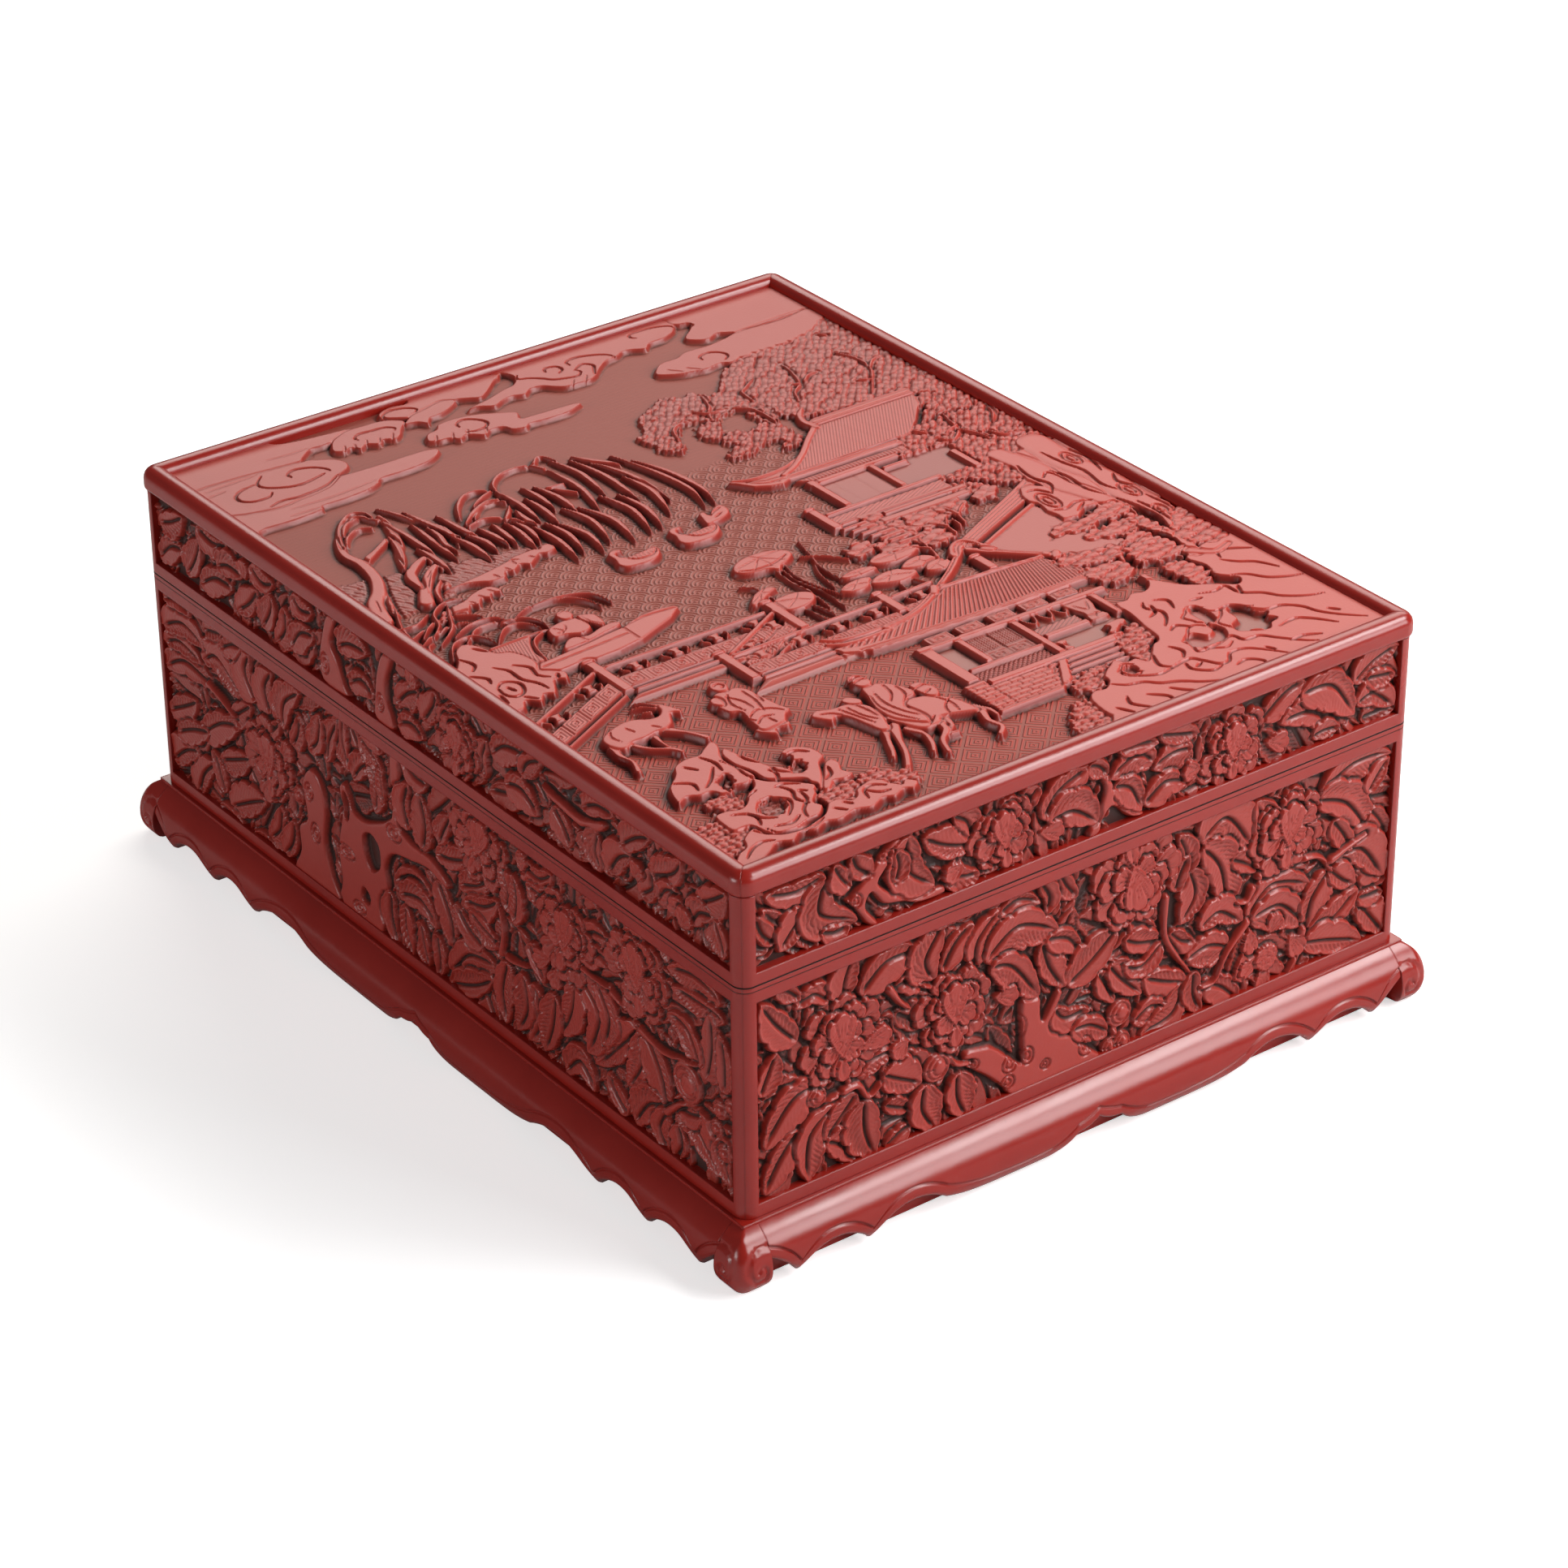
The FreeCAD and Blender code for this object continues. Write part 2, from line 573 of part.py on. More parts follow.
def makeLidCarving(fieldX, fieldY):
    # the garden scene: a low ground, and the clouds, trees, houses, rocks and figures that stand on it
    body = newBody("lid_carving")
    foot = skirtTop + " + lid_coat"
    field = rectangle("-" + fieldX, "-" + fieldY, fieldX, fieldY)
    padNamed(body, outlineSketch(body, "lid_field", "XY_Plane", field, offset=foot), "lid_field")
    for group in ("clouds", "trees", "houses", "bridges", "rocks", "figures", "blooms", "leaves"):
        outlines = formOutlines(lidForms, (group,), 1)
        padForms(body, "lid_" + group, "XY_Plane", outlines, fieldX, fieldY, "0 * lid_field", foot,
                 "lid_carving_depth")


def makeRim(name, half, wall, quarters):
    body = newBody(name, quarters)
    plan = mitredPlan(half, wall, "rim_overhang", "(corner_radius + rim_overhang)", "rim_inset")
    bead = pad(body, outlineSketch(body, name + "_plan", "XY_Plane", plan, offset=skirtTop), "rim_height")
    low = amount(skirtTop)
    high = low + amount("rim_height")
    outside = amount(wall) - amount("corner_radius")
    inside = amount(wall) - amount("rim_inset")

    def isLevel(middle, edge, level):
        box = edge.BoundBox
        return abs(middle.z - level) < sameSpot and box.ZLength < sameSpot

    def outerTop(middle, edge):
        return isLevel(middle, edge, high) and middle.y < -outside and not isMitre(edge)

    def innerTop(middle, edge):
        return isLevel(middle, edge, high) and abs(middle.y + inside) < sameSpot

    def outerBottom(middle, edge):
        return isLevel(middle, edge, low) and middle.y < -outside and not isMitre(edge)

    def isMitre(edge):
        start, end = edge.Vertexes[0].Point, edge.Vertexes[-1].Point
        run = end - start
        straight = abs(edge.Length - run.Length) < sameSpot
        return straight and abs(abs(run.x) - abs(run.y)) < sameSpot

    bead = rounded(body, bead, "rim_outer_round", outerTop)
    bead = rounded(body, bead, "rim_inner_round", innerTop)
    rounded(body, bead, "rim_bottom_round", outerBottom)
    return body


def makeTray(name, halfX, halfY, base, height, skin, upside):
    # a thin lining: open at the top, or at the bottom where upside is set
    body = newBody(name)
    outer = rectangle("-" + halfX, "-" + halfY, halfX, halfY)
    pad(body, outlineSketch(body, name + "_outer", "XY_Plane", outer, offset=base), height)
    roomX = "(%s - %s)" % (halfX, skin)
    roomY = "(%s - %s)" % (halfY, skin)
    room = rectangle("-" + roomX, "-" + roomY, roomX, roomY)
    depth = "(%s - %s)" % (height, skin)
    mouth = "%s + %s" % (base, height)
    if upside:
        mouth = base
    sketch = outlineSketch(body, name + "_room", "XY_Plane", room, offset=mouth)
    cut = pocket(body, sketch, depth)
    cut.Reversed = upside
    return body


def makeBase():
    for quarters, (name, (half, wall, rightCorner, between)) in enumerate(sides.items()):
        archShares = frontArchShares
        length = "2 * (%s + base_rail_offset)" % half
        start = "-(%s + base_rail_offset)" % half
        if between:
            archShares = sideArchShares
            length = "2 * (%s + base_rail_offset - base_rail_thickness)" % half
            start = "-(%s + base_rail_offset - base_rail_thickness)" % half
        makeApron("apron_" + name, half, wall, quarters, archShares)
        makeFoot("foot_" + rightCorner, half, wall, quarters)
        block("base_rail_" + name, length, "base_rail_thickness", "plinth_height - base_rail_lift",
              start, "-(%s + base_rail_offset)" % wall, "base_rail_lift", quarters)


def makeBoxWalls():
    inner = "(%s - lacquer - box_board)"
    halfX = inner % "body_width / 2"
    halfY = inner % "body_depth / 2"
    block("floor_board", "2 * " + halfX, "2 * " + halfY, "floor_board", "-" + halfX, "-" + halfY, wallBase)
    railX = "(body_width / 2 + base_rail_offset - base_rail_thickness)"
    railY = "(body_depth / 2 + base_rail_offset - base_rail_thickness)"
    block("underside_lacquer", "2 * " + railX, "2 * " + railY, "underside_coat",
          "-" + railX, "-" + railY, wallBase + " - underside_coat")
    lipBase = "(%s - lip_seat)" % seam
    liningBase = "(%s + floor_board)" % wallBase
    makeTray("box_lining", halfX, halfY, liningBase, "(%s - %s)" % (lipBase, liningBase),
             "box_lining", False)
    panelHeight = "(wall_height - bottom_band - top_band)"
    panelBase = "(%s + bottom_band)" % wallBase
    for quarters, (name, (half, wall, rightCorner, between)) in enumerate(sides.items()):
        butt = ""
        lipButt = ""
        if between:
            butt = " - box_board"
            lipButt = " - lip_thickness"
        reach = "(%s - lacquer%s)" % (half, butt)
        block(name + "_board", "2 * " + reach, "box_board", "wall_height",
              "-" + reach, "-(%s - lacquer)" % wall, wallBase, quarters)
        makeCoat(name + "_lacquer", half, wall, quarters, wallBase, "wall_height", panelBase, panelHeight)
        makeCarving(name + "_carving", half, wall, quarters, panelBase, panelHeight,
                    sideForms if between else frontForms)
        lipReach = "(%s - lacquer - box_board%s)" % (half, lipButt)
        block("lip_" + name, "2 * " + lipReach, "lip_thickness", "lip_seat + lip_rise",
              "-" + lipReach, "-(%s - lacquer - box_board)" % wall, lipBase, quarters)


def makeCover():
    halfX = "(body_width / 2 - lacquer)"
    halfY = "(body_depth / 2 - lacquer)"
    block("cover_top_board", "2 * " + halfX, "2 * " + halfY, "top_board",
          "-" + halfX, "-" + halfY, coverBoardTop)
    fieldX = "(body_width / 2 - rim_inset)"
    fieldY = "(body_depth / 2 - rim_inset)"
    block("lid_ground", "2 * " + fieldX, "2 * " + fieldY, "lid_coat", "-" + fieldX, "-" + fieldY, skirtTop)
    makeLidCarving(fieldX, fieldY)
    liningX = "(body_width / 2 - lacquer - %s)" % coverBoard
    liningY = "(body_depth / 2 - lacquer - %s)" % coverBoard
    makeTray("cover_lining", liningX, liningY, coverBase, "(%s - %s)" % (coverBoardTop, coverBase),
             "cover_lining", True)
    panelBase = "(%s + cover_band)" % coverBase
    panelHeight = "(cover_skirt - cover_band)"
    for quarters, (name, (half, wall, rightCorner, between)) in enumerate(sides.items()):
        butt = ""
        if between:
            butt = " - " + coverBoard
        reach = "(%s - lacquer%s)" % (half, butt)
        block("cover_%s_board" % name, "2 * " + reach, coverBoard, "%s - %s" % (coverBoardTop, coverBase),
              "-" + reach, "-(%s - lacquer)" % wall, coverBase, quarters)
        makeCoat("cover_%s_lacquer" % name, half, wall, quarters, coverBase, "cover_skirt",
                 panelBase, panelHeight)
        makeCarving("cover_%s_carving" % name, half, wall, quarters, panelBase, panelHeight,
                    coverSideForms if between else coverFrontForms)
        makeRim("rim_" + name, half, wall, quarters)


def checkAndExport():
    doc.recompute()
    for thing in doc.Objects:
        if "Invalid" in thing.State or "Error" in thing.State:
            raise RuntimeError("failed: " + thing.Label)
    for piece in pieces:
        if piece.Shape.isNull() or not piece.Shape.isValid():
            raise RuntimeError("bad shape: " + piece.Label)
    os.makedirs("parts", exist_ok=True)
    for piece in pieces:
        piece.Shape.exportStep("parts/%s.step" % piece.Label)
    print(len(pieces), "pieces written")


makeBase()
makeBoxWalls()
makeCover()
checkAndExport()
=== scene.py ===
# Looks of a carved cinnabar lacquer box: reliefs are worked as height maps in mm, then meshed.
import math

import bpy
import numpy as np
from mathutils import Matrix, Vector


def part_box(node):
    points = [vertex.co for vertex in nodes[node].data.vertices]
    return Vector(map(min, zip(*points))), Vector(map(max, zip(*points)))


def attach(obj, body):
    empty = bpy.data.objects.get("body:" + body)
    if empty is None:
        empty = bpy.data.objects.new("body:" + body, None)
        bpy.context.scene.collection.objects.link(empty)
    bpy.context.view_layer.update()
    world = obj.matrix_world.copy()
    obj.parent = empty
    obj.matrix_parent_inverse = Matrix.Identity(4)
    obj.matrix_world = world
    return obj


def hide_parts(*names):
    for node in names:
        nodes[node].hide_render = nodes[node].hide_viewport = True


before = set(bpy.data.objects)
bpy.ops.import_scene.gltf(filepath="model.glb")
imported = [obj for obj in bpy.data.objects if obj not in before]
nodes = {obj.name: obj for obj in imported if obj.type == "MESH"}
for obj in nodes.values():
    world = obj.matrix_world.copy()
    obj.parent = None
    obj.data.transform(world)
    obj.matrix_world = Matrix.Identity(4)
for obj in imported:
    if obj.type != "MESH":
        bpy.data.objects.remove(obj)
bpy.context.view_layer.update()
mm = 0.001
print("frame loaded:", len(nodes), "nodes")


# Small tools for node materials

def linear(hexColour):
    parts = [int(hexColour[i:i + 2], 16) / 255 for i in (1, 3, 5)]
    return tuple(c / 12.92 if c <= 0.04045 else ((c + 0.055) / 1.055) ** 2.4 for c in parts) + (1,)


def add(tree, kind, settings=None, links=None):
    # one node with its settings (attributes, or inputs by name or number) and what feeds its inputs
    node = tree.nodes.new(kind)
    for key, value in (settings or {}).items():
        if isinstance(key, int) or key in node.inputs:
            node.inputs[key].default_value = value
        else:
            setattr(node, key, value)
    for key, source in (links or {}).items():
        tree.links.new(source, node.inputs[key])
    return node


def maths(tree, operation, *values):
    # a math node: numbers are set, sockets are linked
    numbers = {k: value for k, value in enumerate(values) if isinstance(value, (int, float))}
    sockets = {k: value for k, value in enumerate(values) if k not in numbers}
    return add(tree, "ShaderNodeMath", {"operation": operation, **numbers}, sockets).outputs[0]


def mixed(tree, factor, first, second):
    # a mix of two colours: hex colours are set, sockets are linked
    ends = {"A": first, "B": second}
    fixed = {key: linear(end) for key, end in ends.items() if isinstance(end, str)}
    linked = {key: end for key, end in ends.items() if key not in fixed}
    return add(tree, "ShaderNodeMix", {"data_type": "RGBA", **fixed}, {"Factor": factor, **linked}).outputs["Result"]


def noise(tree, place, grain, detail, **more):
    # the grain is in mm
    settings = {"Scale": 1 / (grain * mm), "Detail": detail, **more}
    return add(tree, "ShaderNodeTexNoise", settings, {"Vector": place}).outputs["Fac"]


def remap(tree, value, **ends):
    # fromMin, fromMax, toMin and toMax, as far as they differ from 0 and 1
    names = {"fromMin": "From Min", "fromMax": "From Max", "toMin": "To Min", "toMax": "To Max"}
    settings = {names[key]: end for key, end in ends.items()}
    return add(tree, "ShaderNodeMapRange", settings, {"Value": value}).outputs[0]


def layer(tree, name):
    return add(tree, "ShaderNodeAttribute", {"attribute_name": name}).outputs["Fac"]


def bumped(tree, height, strength, depth, normal=None):
    # the depth is in mm
    links = {"Height": height, "Normal": normal} if normal else {"Height": height}
    return add(tree, "ShaderNodeBump", {"Strength": strength, "Distance": depth * mm}, links).outputs["Normal"]


def newMaterial(name):
    material = bpy.data.materials.new(name)
    material.use_nodes = True
    tree = material.node_tree
    place = add(tree, "ShaderNodeTexCoord").outputs["Object"]
    return material, tree, tree.nodes["Principled BSDF"], place


def feed(tree, node, sources):
    for key, source in sources.items():
        tree.links.new(source, node.inputs[key])


def paint(thing, material):
    thing.data.materials.clear()
    thing.data.materials.append(material)


# Carving: a height map that is worked like a block of lacquer

def smoothLine(points, closed=False, steps=6):
    # a rounded line through given points
    spots = np.array(points, float)
    count = len(spots)
    found = []
    share = np.linspace(0, 1, steps, endpoint=False)[:, None]
    for i in range(count if closed else count - 1):
        if closed:
            a, b, c, d = (spots[(i + k) % count] for k in (-1, 0, 1, 2))
        else:
            a, b, c, d = (spots[min(max(i + k, 0), count - 1)] for k in (-1, 0, 1, 2))
        found.append(0.5 * (2 * b + (c - a) * share + (2 * a - 5 * b + 4 * c - d) * share ** 2
                            + (3 * b - a - 3 * c + d) * share ** 3))
    if not closed:
        found.append(spots[-1:])
    return np.concatenate(found)


def followLine(line, x, y):
    # share along the line and signed distance from it (left is positive), and the line's length
    line = np.asarray(line, float)
    steps = np.diff(line, axis=0)
    lengths = np.maximum(np.hypot(steps[:, 0], steps[:, 1]), 1e-9)
    total = lengths.sum()
    best = np.full(x.shape, 1e12)
    along = np.zeros(x.shape)
    side = np.zeros(x.shape)
    start = 0.0
    for (ax, ay), (ex, ey), length in zip(line[:-1], steps, lengths):
        px, py = x - ax, y - ay
        t = np.clip((px * ex + py * ey) / length ** 2, 0, 1)
        distance = (px - t * ex) ** 2 + (py - t * ey) ** 2
        nearer = distance < best
        best = np.where(nearer, distance, best)
        along = np.where(nearer, (start + t * length) / total, along)
        side = np.where(nearer, ex * py - ey * px, side)
        start += length
    return along, np.copysign(np.sqrt(best), side), total


def insideDistance(outline, x, y):
    # distance to a closed outline, positive inside it
    best = np.full(x.shape, 1e12)
    inside = np.zeros(x.shape, bool)
    outline = np.asarray(outline, float)
    for (ax, ay), (bx, by) in zip(outline, np.roll(outline, -1, axis=0)):
        ex, ey = bx - ax, by - ay
        px, py = x - ax, y - ay
        t = np.clip((px * ex + py * ey) / (ex * ex + ey * ey + 1e-12), 0, 1)
        best = np.minimum(best, (px - t * ex) ** 2 + (py - t * ey) ** 2)
        if ey:
            inside ^= ((ay > y) != (by > y)) & (px < ex * py / ey)
    return np.where(inside, 1.0, -1.0) * np.sqrt(best)


class Carving:
    def __init__(self, width, height, pitch, ground=0.2, slope=1.7):
        self.pitch = pitch
        self.slope = slope * pitch      # how far a cut flank leans out
        self.xs = np.linspace(-width / 2, width / 2, int(round(width / pitch)) + 1)
        self.ys = np.linspace(-height / 2, height / 2, int(round(height / pitch)) + 1)
        self.top = np.full((len(self.ys), len(self.xs)), float(ground))
        self.ground = ground
        self.masks = {}

    def window(self, low, high):
        # the part of the map between two corners, which may be empty, with its coordinates
        i = np.searchsorted(self.xs, (low[0], high[0]))
        j = np.searchsorted(self.ys, (low[1], high[1]))
        area = (slice(j[0], j[1]), slice(i[0], i[1]))
        return area, *np.meshgrid(self.xs[area[1]], self.ys[area[0]])

    def around(self, points, margin):
        points = np.asarray(points, float)
        return self.window(points.min(0) - margin, points.max(0) + margin)

    def lay(self, area, edge, surface, moat=0.9, moatDepth=0.8):
        # covers what is inside the edge with a surface, and undercuts what lies just outside it
        cover = np.clip(edge / self.slope + 0.5, 0, 1)
        below = self.top[area]
        if moat:
            near = np.clip(1 + edge / moat, 0, 1) ** 1.5
            below = np.maximum(below - moatDepth * near, np.minimum(below, self.ground))
        self.top[area] = below * (1 - cover) + surface * cover

    def fill(self, outline, level, round=0.5, drop=0.3, moat=0.9, moatDepth=0.8):
        # a flat-topped shape with softened edges
        area, x, y = self.around(outline, moat + self.pitch)
        edge = insideDistance(outline, x, y)
        surface = level - drop * np.clip(1 - edge / round, 0, 1) ** 2
        self.lay(area, edge, surface, moat, moatDepth)

    def cut(self, line, width=0.6, depth=0.5, taper=False):
        # an incised line
        area, x, y = self.around(line, width)
        along, side, _ = followLine(line, x, y)
        reach = width / 2 * (np.sqrt(np.clip(4 * along * (1 - along), 0.02, 1)) if taper else 1)
        groove = np.clip(1 - (side / np.maximum(reach, 0.05)) ** 2, 0, 1)
        self.top[area] -= depth * groove

    def rib(self, line, widths, level, round=0.45, moat=0.7, moatDepth=0.6, flat=0.0):
        # a raised strand: widths are spread evenly along the line
        widths = np.atleast_1d(np.asarray(widths, float))
        area, x, y = self.around(line, widths.max() / 2 + moat + self.pitch)
        along, side, _ = followLine(line, x, y)
        half = np.interp(along, np.linspace(0, 1, len(widths)), widths) / 2
        across = np.clip(np.abs(side) / np.maximum(half, 0.05), 0, 1)
        across = np.clip((across - flat) / (1 - flat), 0, 1)
        self.lay(area, half - np.abs(side), level - round * across ** 2, moat, moatDepth)

    def comb(self, outline, pitch, depth, angle=0.0, apex=None):
        # parallel grooves at an angle in degrees, or fanning from an apex, inside an outline
        area, x, y = self.around(outline, 1)
        if apex:
            middle = np.mean(outline, axis=0)
            far = math.hypot(middle[0] - apex[0], middle[1] - apex[1])
            phase = np.arctan2(y - apex[1], x - apex[0]) * far / pitch
        else:
            turn = math.radians(angle)
            phase = (-x * math.sin(turn) + y * math.cos(turn)) / pitch
        cover = np.clip(insideDistance(outline, x, y) / self.pitch + 0.5, 0, 1)
        self.top[area] -= depth * cover * (0.5 - 0.5 * np.cos(2 * math.pi * phase)) ** 2

    def fret(self, start, end, tall, cells=None):
        # a row of square key frets in a strip that stands on the line from start to end
        line = 1.25
        start, end = np.array(start, float), np.array(end, float)
        length = np.hypot(*(end - start))
        cells = cells or max(1, int(round(length / (tall * 1.15))))
        area, x, y = self.around([start, end, end + (0, tall), start + (0, tall)], 1)
        along = (x - start[0]) / (end[0] - start[0])
        up = (y - start[1] - along * (end[1] - start[1])) / tall
        inside = (along > 0) & (along < 1) & (up > 0.06) & (up < 0.94)
        u = np.abs((along * cells) % 1 - 0.5) * length / cells
        v = np.abs(up - 0.5) * tall
        nest = np.maximum(u * tall / (length / cells), v)
        grooves = (0.5 - 0.5 * np.cos(2 * math.pi * nest / line)) ** 2
        gap = (np.abs(u) < 0.5) & ((np.floor(nest / line) % 2) > 0.5)
        self.top[area] -= np.where(inside, 0.5 * grooves * np.where(gap, 0.2, 1), 0)

    def pebbles(self, outline, size, level, relief=1.0, stretch=1.0, turn=0.0, seed=0, rough=0.3):
        # a packed mass of rounded grains or small leaves, with an uneven edge
        area, x, y = self.around(outline, size)
        c, s = math.cos(math.radians(turn)), math.sin(math.radians(turn))
        u, v = (x * c + y * s) / (size * stretch), (y * c - x * s) / size
        nearest = np.full(x.shape, 9.0)
        tone = np.zeros(x.shape)
        lean = np.zeros(x.shape)
        for du in (-1, 0, 1):
            for dv in (-1, 0, 1):
                gu, gv = np.floor(u) + du, np.floor(v) + dv
                dice = [np.abs(np.sin(gu * a + gv * b + seed * 3.7) * 43758.5453) % 1
                        for a, b in ((12.99, 78.23), (39.35, 11.14), (73.16, 52.24))]
                du2 = gu + 0.25 + 0.5 * dice[0] - u
                dv2 = gv + 0.25 + 0.5 * dice[1] - v
                distance = du2 ** 2 + dv2 ** 2
                nearer = distance < nearest
                nearest = np.where(nearer, distance, nearest)
                tone = np.where(nearer, dice[2], tone)
                lean = np.where(nearer, dv2, lean)
        edge = insideDistance(outline, x, y) + size * (0.45 - np.sqrt(nearest))
        surface = level + rough * (tone - 0.6) - relief * np.clip(nearest, 0, 1) + 0.35 * relief * lean
        self.lay(area, edge, surface, moat=1.2, moatDepth=1.2)

    def ring(self, centres, radii):
        # the incised lips of hollows
        for (cx, cy), radius in zip(centres, radii):
            wave = [(cx + radius * (1 + 0.12 * math.sin(5 * a)) * math.cos(a),
                     cy + radius * (1 + 0.12 * math.cos(4 * a)) * math.sin(a)) for a in np.linspace(0.6, 5.2, 24)]
            self.cut(wave, 1.2, 0.8, True)


# Points written as text, and rounded shapes from them

def spots(text):
    # "x,y x,y ..." as points; rows of points are parted by bars
    return [tuple(float(v) for v in pair.split(",")) for pair in text.split()]


def rowsOf(text):
    return text.split("|") if text else []


def corners(*numbers):
    # numbers as the text of points
    return " ".join("%g,%g" % pair for pair in zip(numbers[::2], numbers[1::2]))


def oval(x, y, wide, tall, count=17):
    return [(x + wide * math.cos(a), y + tall * math.sin(a)) for a in np.linspace(0, 2 * math.pi, count)]


def toward(angle):
    return np.array((math.cos(math.radians(angle)), math.sin(math.radians(angle))))


def soft(text, steps=4):
    return smoothLine(spots(text), closed=True, steps=steps)


# Camellia branches on the sides, in mm along the side and above the foot of the wall

foliage = {
    "lowLevel": 1.9,           # mm above the ground of the panel
    "leafLevel": 3.1,
    "topLevel": 3.45,
    "midribWidth": 0.75,       # the deep cut along a leaf
    "midribDepth": 1.7,
    "veinSpacing": 2.3,
}


def carveLeaf(work, spine, width, level=None, seed=0):
    # two flat halves with a lipped, lobed edge on each side of a deep midrib, veins cut in one half
    dice = np.random.default_rng(seed)
    level = foliage["leafLevel"] + dice.uniform(-0.3, 0.2) if level is None else level
    line = smoothLine(spine, steps=6)
    area, x, y = work.around(line, width / 2 + 3)
    along, side, length = followLine(line, x, y)
    hand = np.sign(side)
    lobes = dice.integers(2, 4) + (length > 22)
    notch = np.abs(np.sin(math.pi * (lobes * along + dice.uniform(0, 1) + 0.37 * hand)))
    half = width / 2 * 2.5 * np.maximum(along, 1e-6) ** 0.5 * np.maximum(1 - along, 0) ** 0.72
    half *= 1.03 - 0.17 * (1 - notch) ** 2
    half *= 1 + 0.2 * dice.choice((-1, 1)) * hand
    edge = np.minimum(half - np.abs(side), half + work.pitch)
    inward = np.clip(edge / 1.1, 0, 1)
    share = np.clip(np.abs(side) / np.maximum(half, 0.3), 0, 1)
    veined = hand == dice.choice((-1, 1))
    surface = level - 0.5 * (1 - inward) ** 2 + 0.28 * np.exp(-((edge - 0.9) / 0.45) ** 2)
    surface -= np.where(veined, 0.75, 0.3) * np.sin(math.pi * np.clip(share, 0, 1)) ** 1.5
    open = np.clip(np.minimum(along * 9, (1 - along) * 5), 0.2, 1)
    across = np.abs(side) / (foliage["midribWidth"] * open)
    surface -= foliage["midribDepth"] * open * np.exp(-across ** 2) + 0.35 * np.exp(-(across / 2.6) ** 2)
    surface += dice.uniform(-0.6, 0.4) * (along - 0.5)
    vein = ((along * length - 0.8 * np.abs(side) - 0.04 * side ** 2) / foliage["veinSpacing"]) % 1 - 0.5
    fade = np.clip((0.86 - share) * 8, 0, 1) * np.clip((share - 0.15) * 6, 0, 1) * np.clip((1 - along) * 6, 0, 1)
    surface -= 0.45 * np.exp(-(vein * foliage["veinSpacing"] / 0.32) ** 2) * fade * np.where(veined, 1.0, 0.25)
    work.lay(area, edge, surface, moat=1.5, moatDepth=1.5)


def carvePetal(work, base, angle, length, spread, ribs=5, level=None, cup=1.1, seed=0):
    # a shell from a base point: its direction and half opening in degrees, a scalloped raised lip and fine folds
    level = foliage["topLevel"] if level is None else level
    dice = np.random.default_rng(seed)
    base = np.array(base, float)
    area, x, y = work.window(base - length - 2.5, base + length + 2.5)
    dx, dy = x - base[0], y - base[1]
    turn = np.arctan2(dy, dx) - math.radians(angle)
    turn = (turn + math.pi) % (2 * math.pi) - math.pi
    wide = math.radians(spread)
    share = np.clip(turn / wide, -1, 1)
    radius = np.hypot(dx, dy)
    lobes = 1 if ribs < 3 else 3
    uneven = 0.1 * dice.uniform(-1, 1) * (1 - share ** 2)
    scallop = np.abs(np.sin(math.pi * (lobes * (share + 1) / 2 + uneven))) ** 0.6
    reach = length * (1 - np.abs(share) ** 3) ** 0.5 * (0.89 + 0.11 * (scallop if lobes > 1 else 1 - np.abs(share)))
    reach = np.where(np.abs(turn) < wide, reach, 0.01)
    edge = np.minimum(reach - radius, (wide - np.abs(turn)) * radius + 0.3)
    out = np.clip(radius / np.maximum(reach, 0.1), 0, 1)
    surface = level - cup * (1 - out) ** 1.3 + 0.3 * np.exp(-((edge - 0.8) / 0.4) ** 2)
    surface = surface - 0.6 * np.clip(1 - edge / 0.5, 0, 1) ** 2
    fold = np.abs(np.sin(math.pi * ribs * (share + 1) / 2))
    surface -= 0.55 * (1 - fold) ** 3 * np.clip((0.82 - out) * 6, 0, 1) * np.clip(radius / 3, 0, 1)
    if lobes > 1:
        surface -= 0.7 * (1 - scallop) ** 3 * np.clip((out - 0.45) * 4, 0, 1)
    work.lay(area, edge, surface, moat=1.3, moatDepth=1.9)


def carveBloom(work, x, y, size, heading, seed=0):
    # a peony: uneven rings of scalloped petals, then a pointed petal and a broad ribbed one facing out
    dice = np.random.default_rng(seed)
    level = foliage["topLevel"]
    for count, start, length, drop in ((7, 0.34, 0.72, 0.8), (6, 0.18, 0.64, 0.45), (4, 0.06, 0.52, 0.15)):
        first = dice.uniform(0, 360)
        for k in dice.permutation(count):
            angle = first + 360 * k / count + dice.uniform(-12, 12)
            carvePetal(work, toward(angle) * start * size + (x, y), angle + dice.uniform(-12, 12),
                       length * size * dice.uniform(0.85, 1.1), dice.uniform(42, 54), 5,
                       level - drop + dice.uniform(-0.2, 0.2), seed=seed * 50 + k)
    ahead = toward(heading)
    foot = np.array((x, y)) - 0.4 * size * ahead
    carvePetal(work, foot + 0.1 * size * ahead, heading + 178, 0.6 * size, 30, 2, level - 0.1, 0.4)
    carvePetal(work, foot, heading, 1.05 * size, 34, 11, level + 0.1, 0.5)


def carveBud(work, x, y, radius):
    # a round bud: two sepals round an inner bead
    circle = lambda share, ahead=0.0: oval(x + ahead * radius, y, radius * share, radius * share)[:-1]
    work.fill(circle(1), foliage["leafLevel"], radius * 0.8, 0.8, 1.4, 1.5)
    work.cut(circle(0.72), 0.8, 0.8)
    work.fill(circle(0.48, 0.15), foliage["topLevel"], radius * 0.4, 0.6, 0.8, 1.0)
    work.cut([(x - radius * 0.9, y), (x - radius * 0.3, y)], 0.7, 0.7)


def carveEye(work, x, y, wide, tall, shares=(1.35, 0.6), width=0.8, count=15):
    # a knot in the bark
    for share in shares:
        work.cut(oval(x, y, wide * share, tall * share, count), width, 0.9)


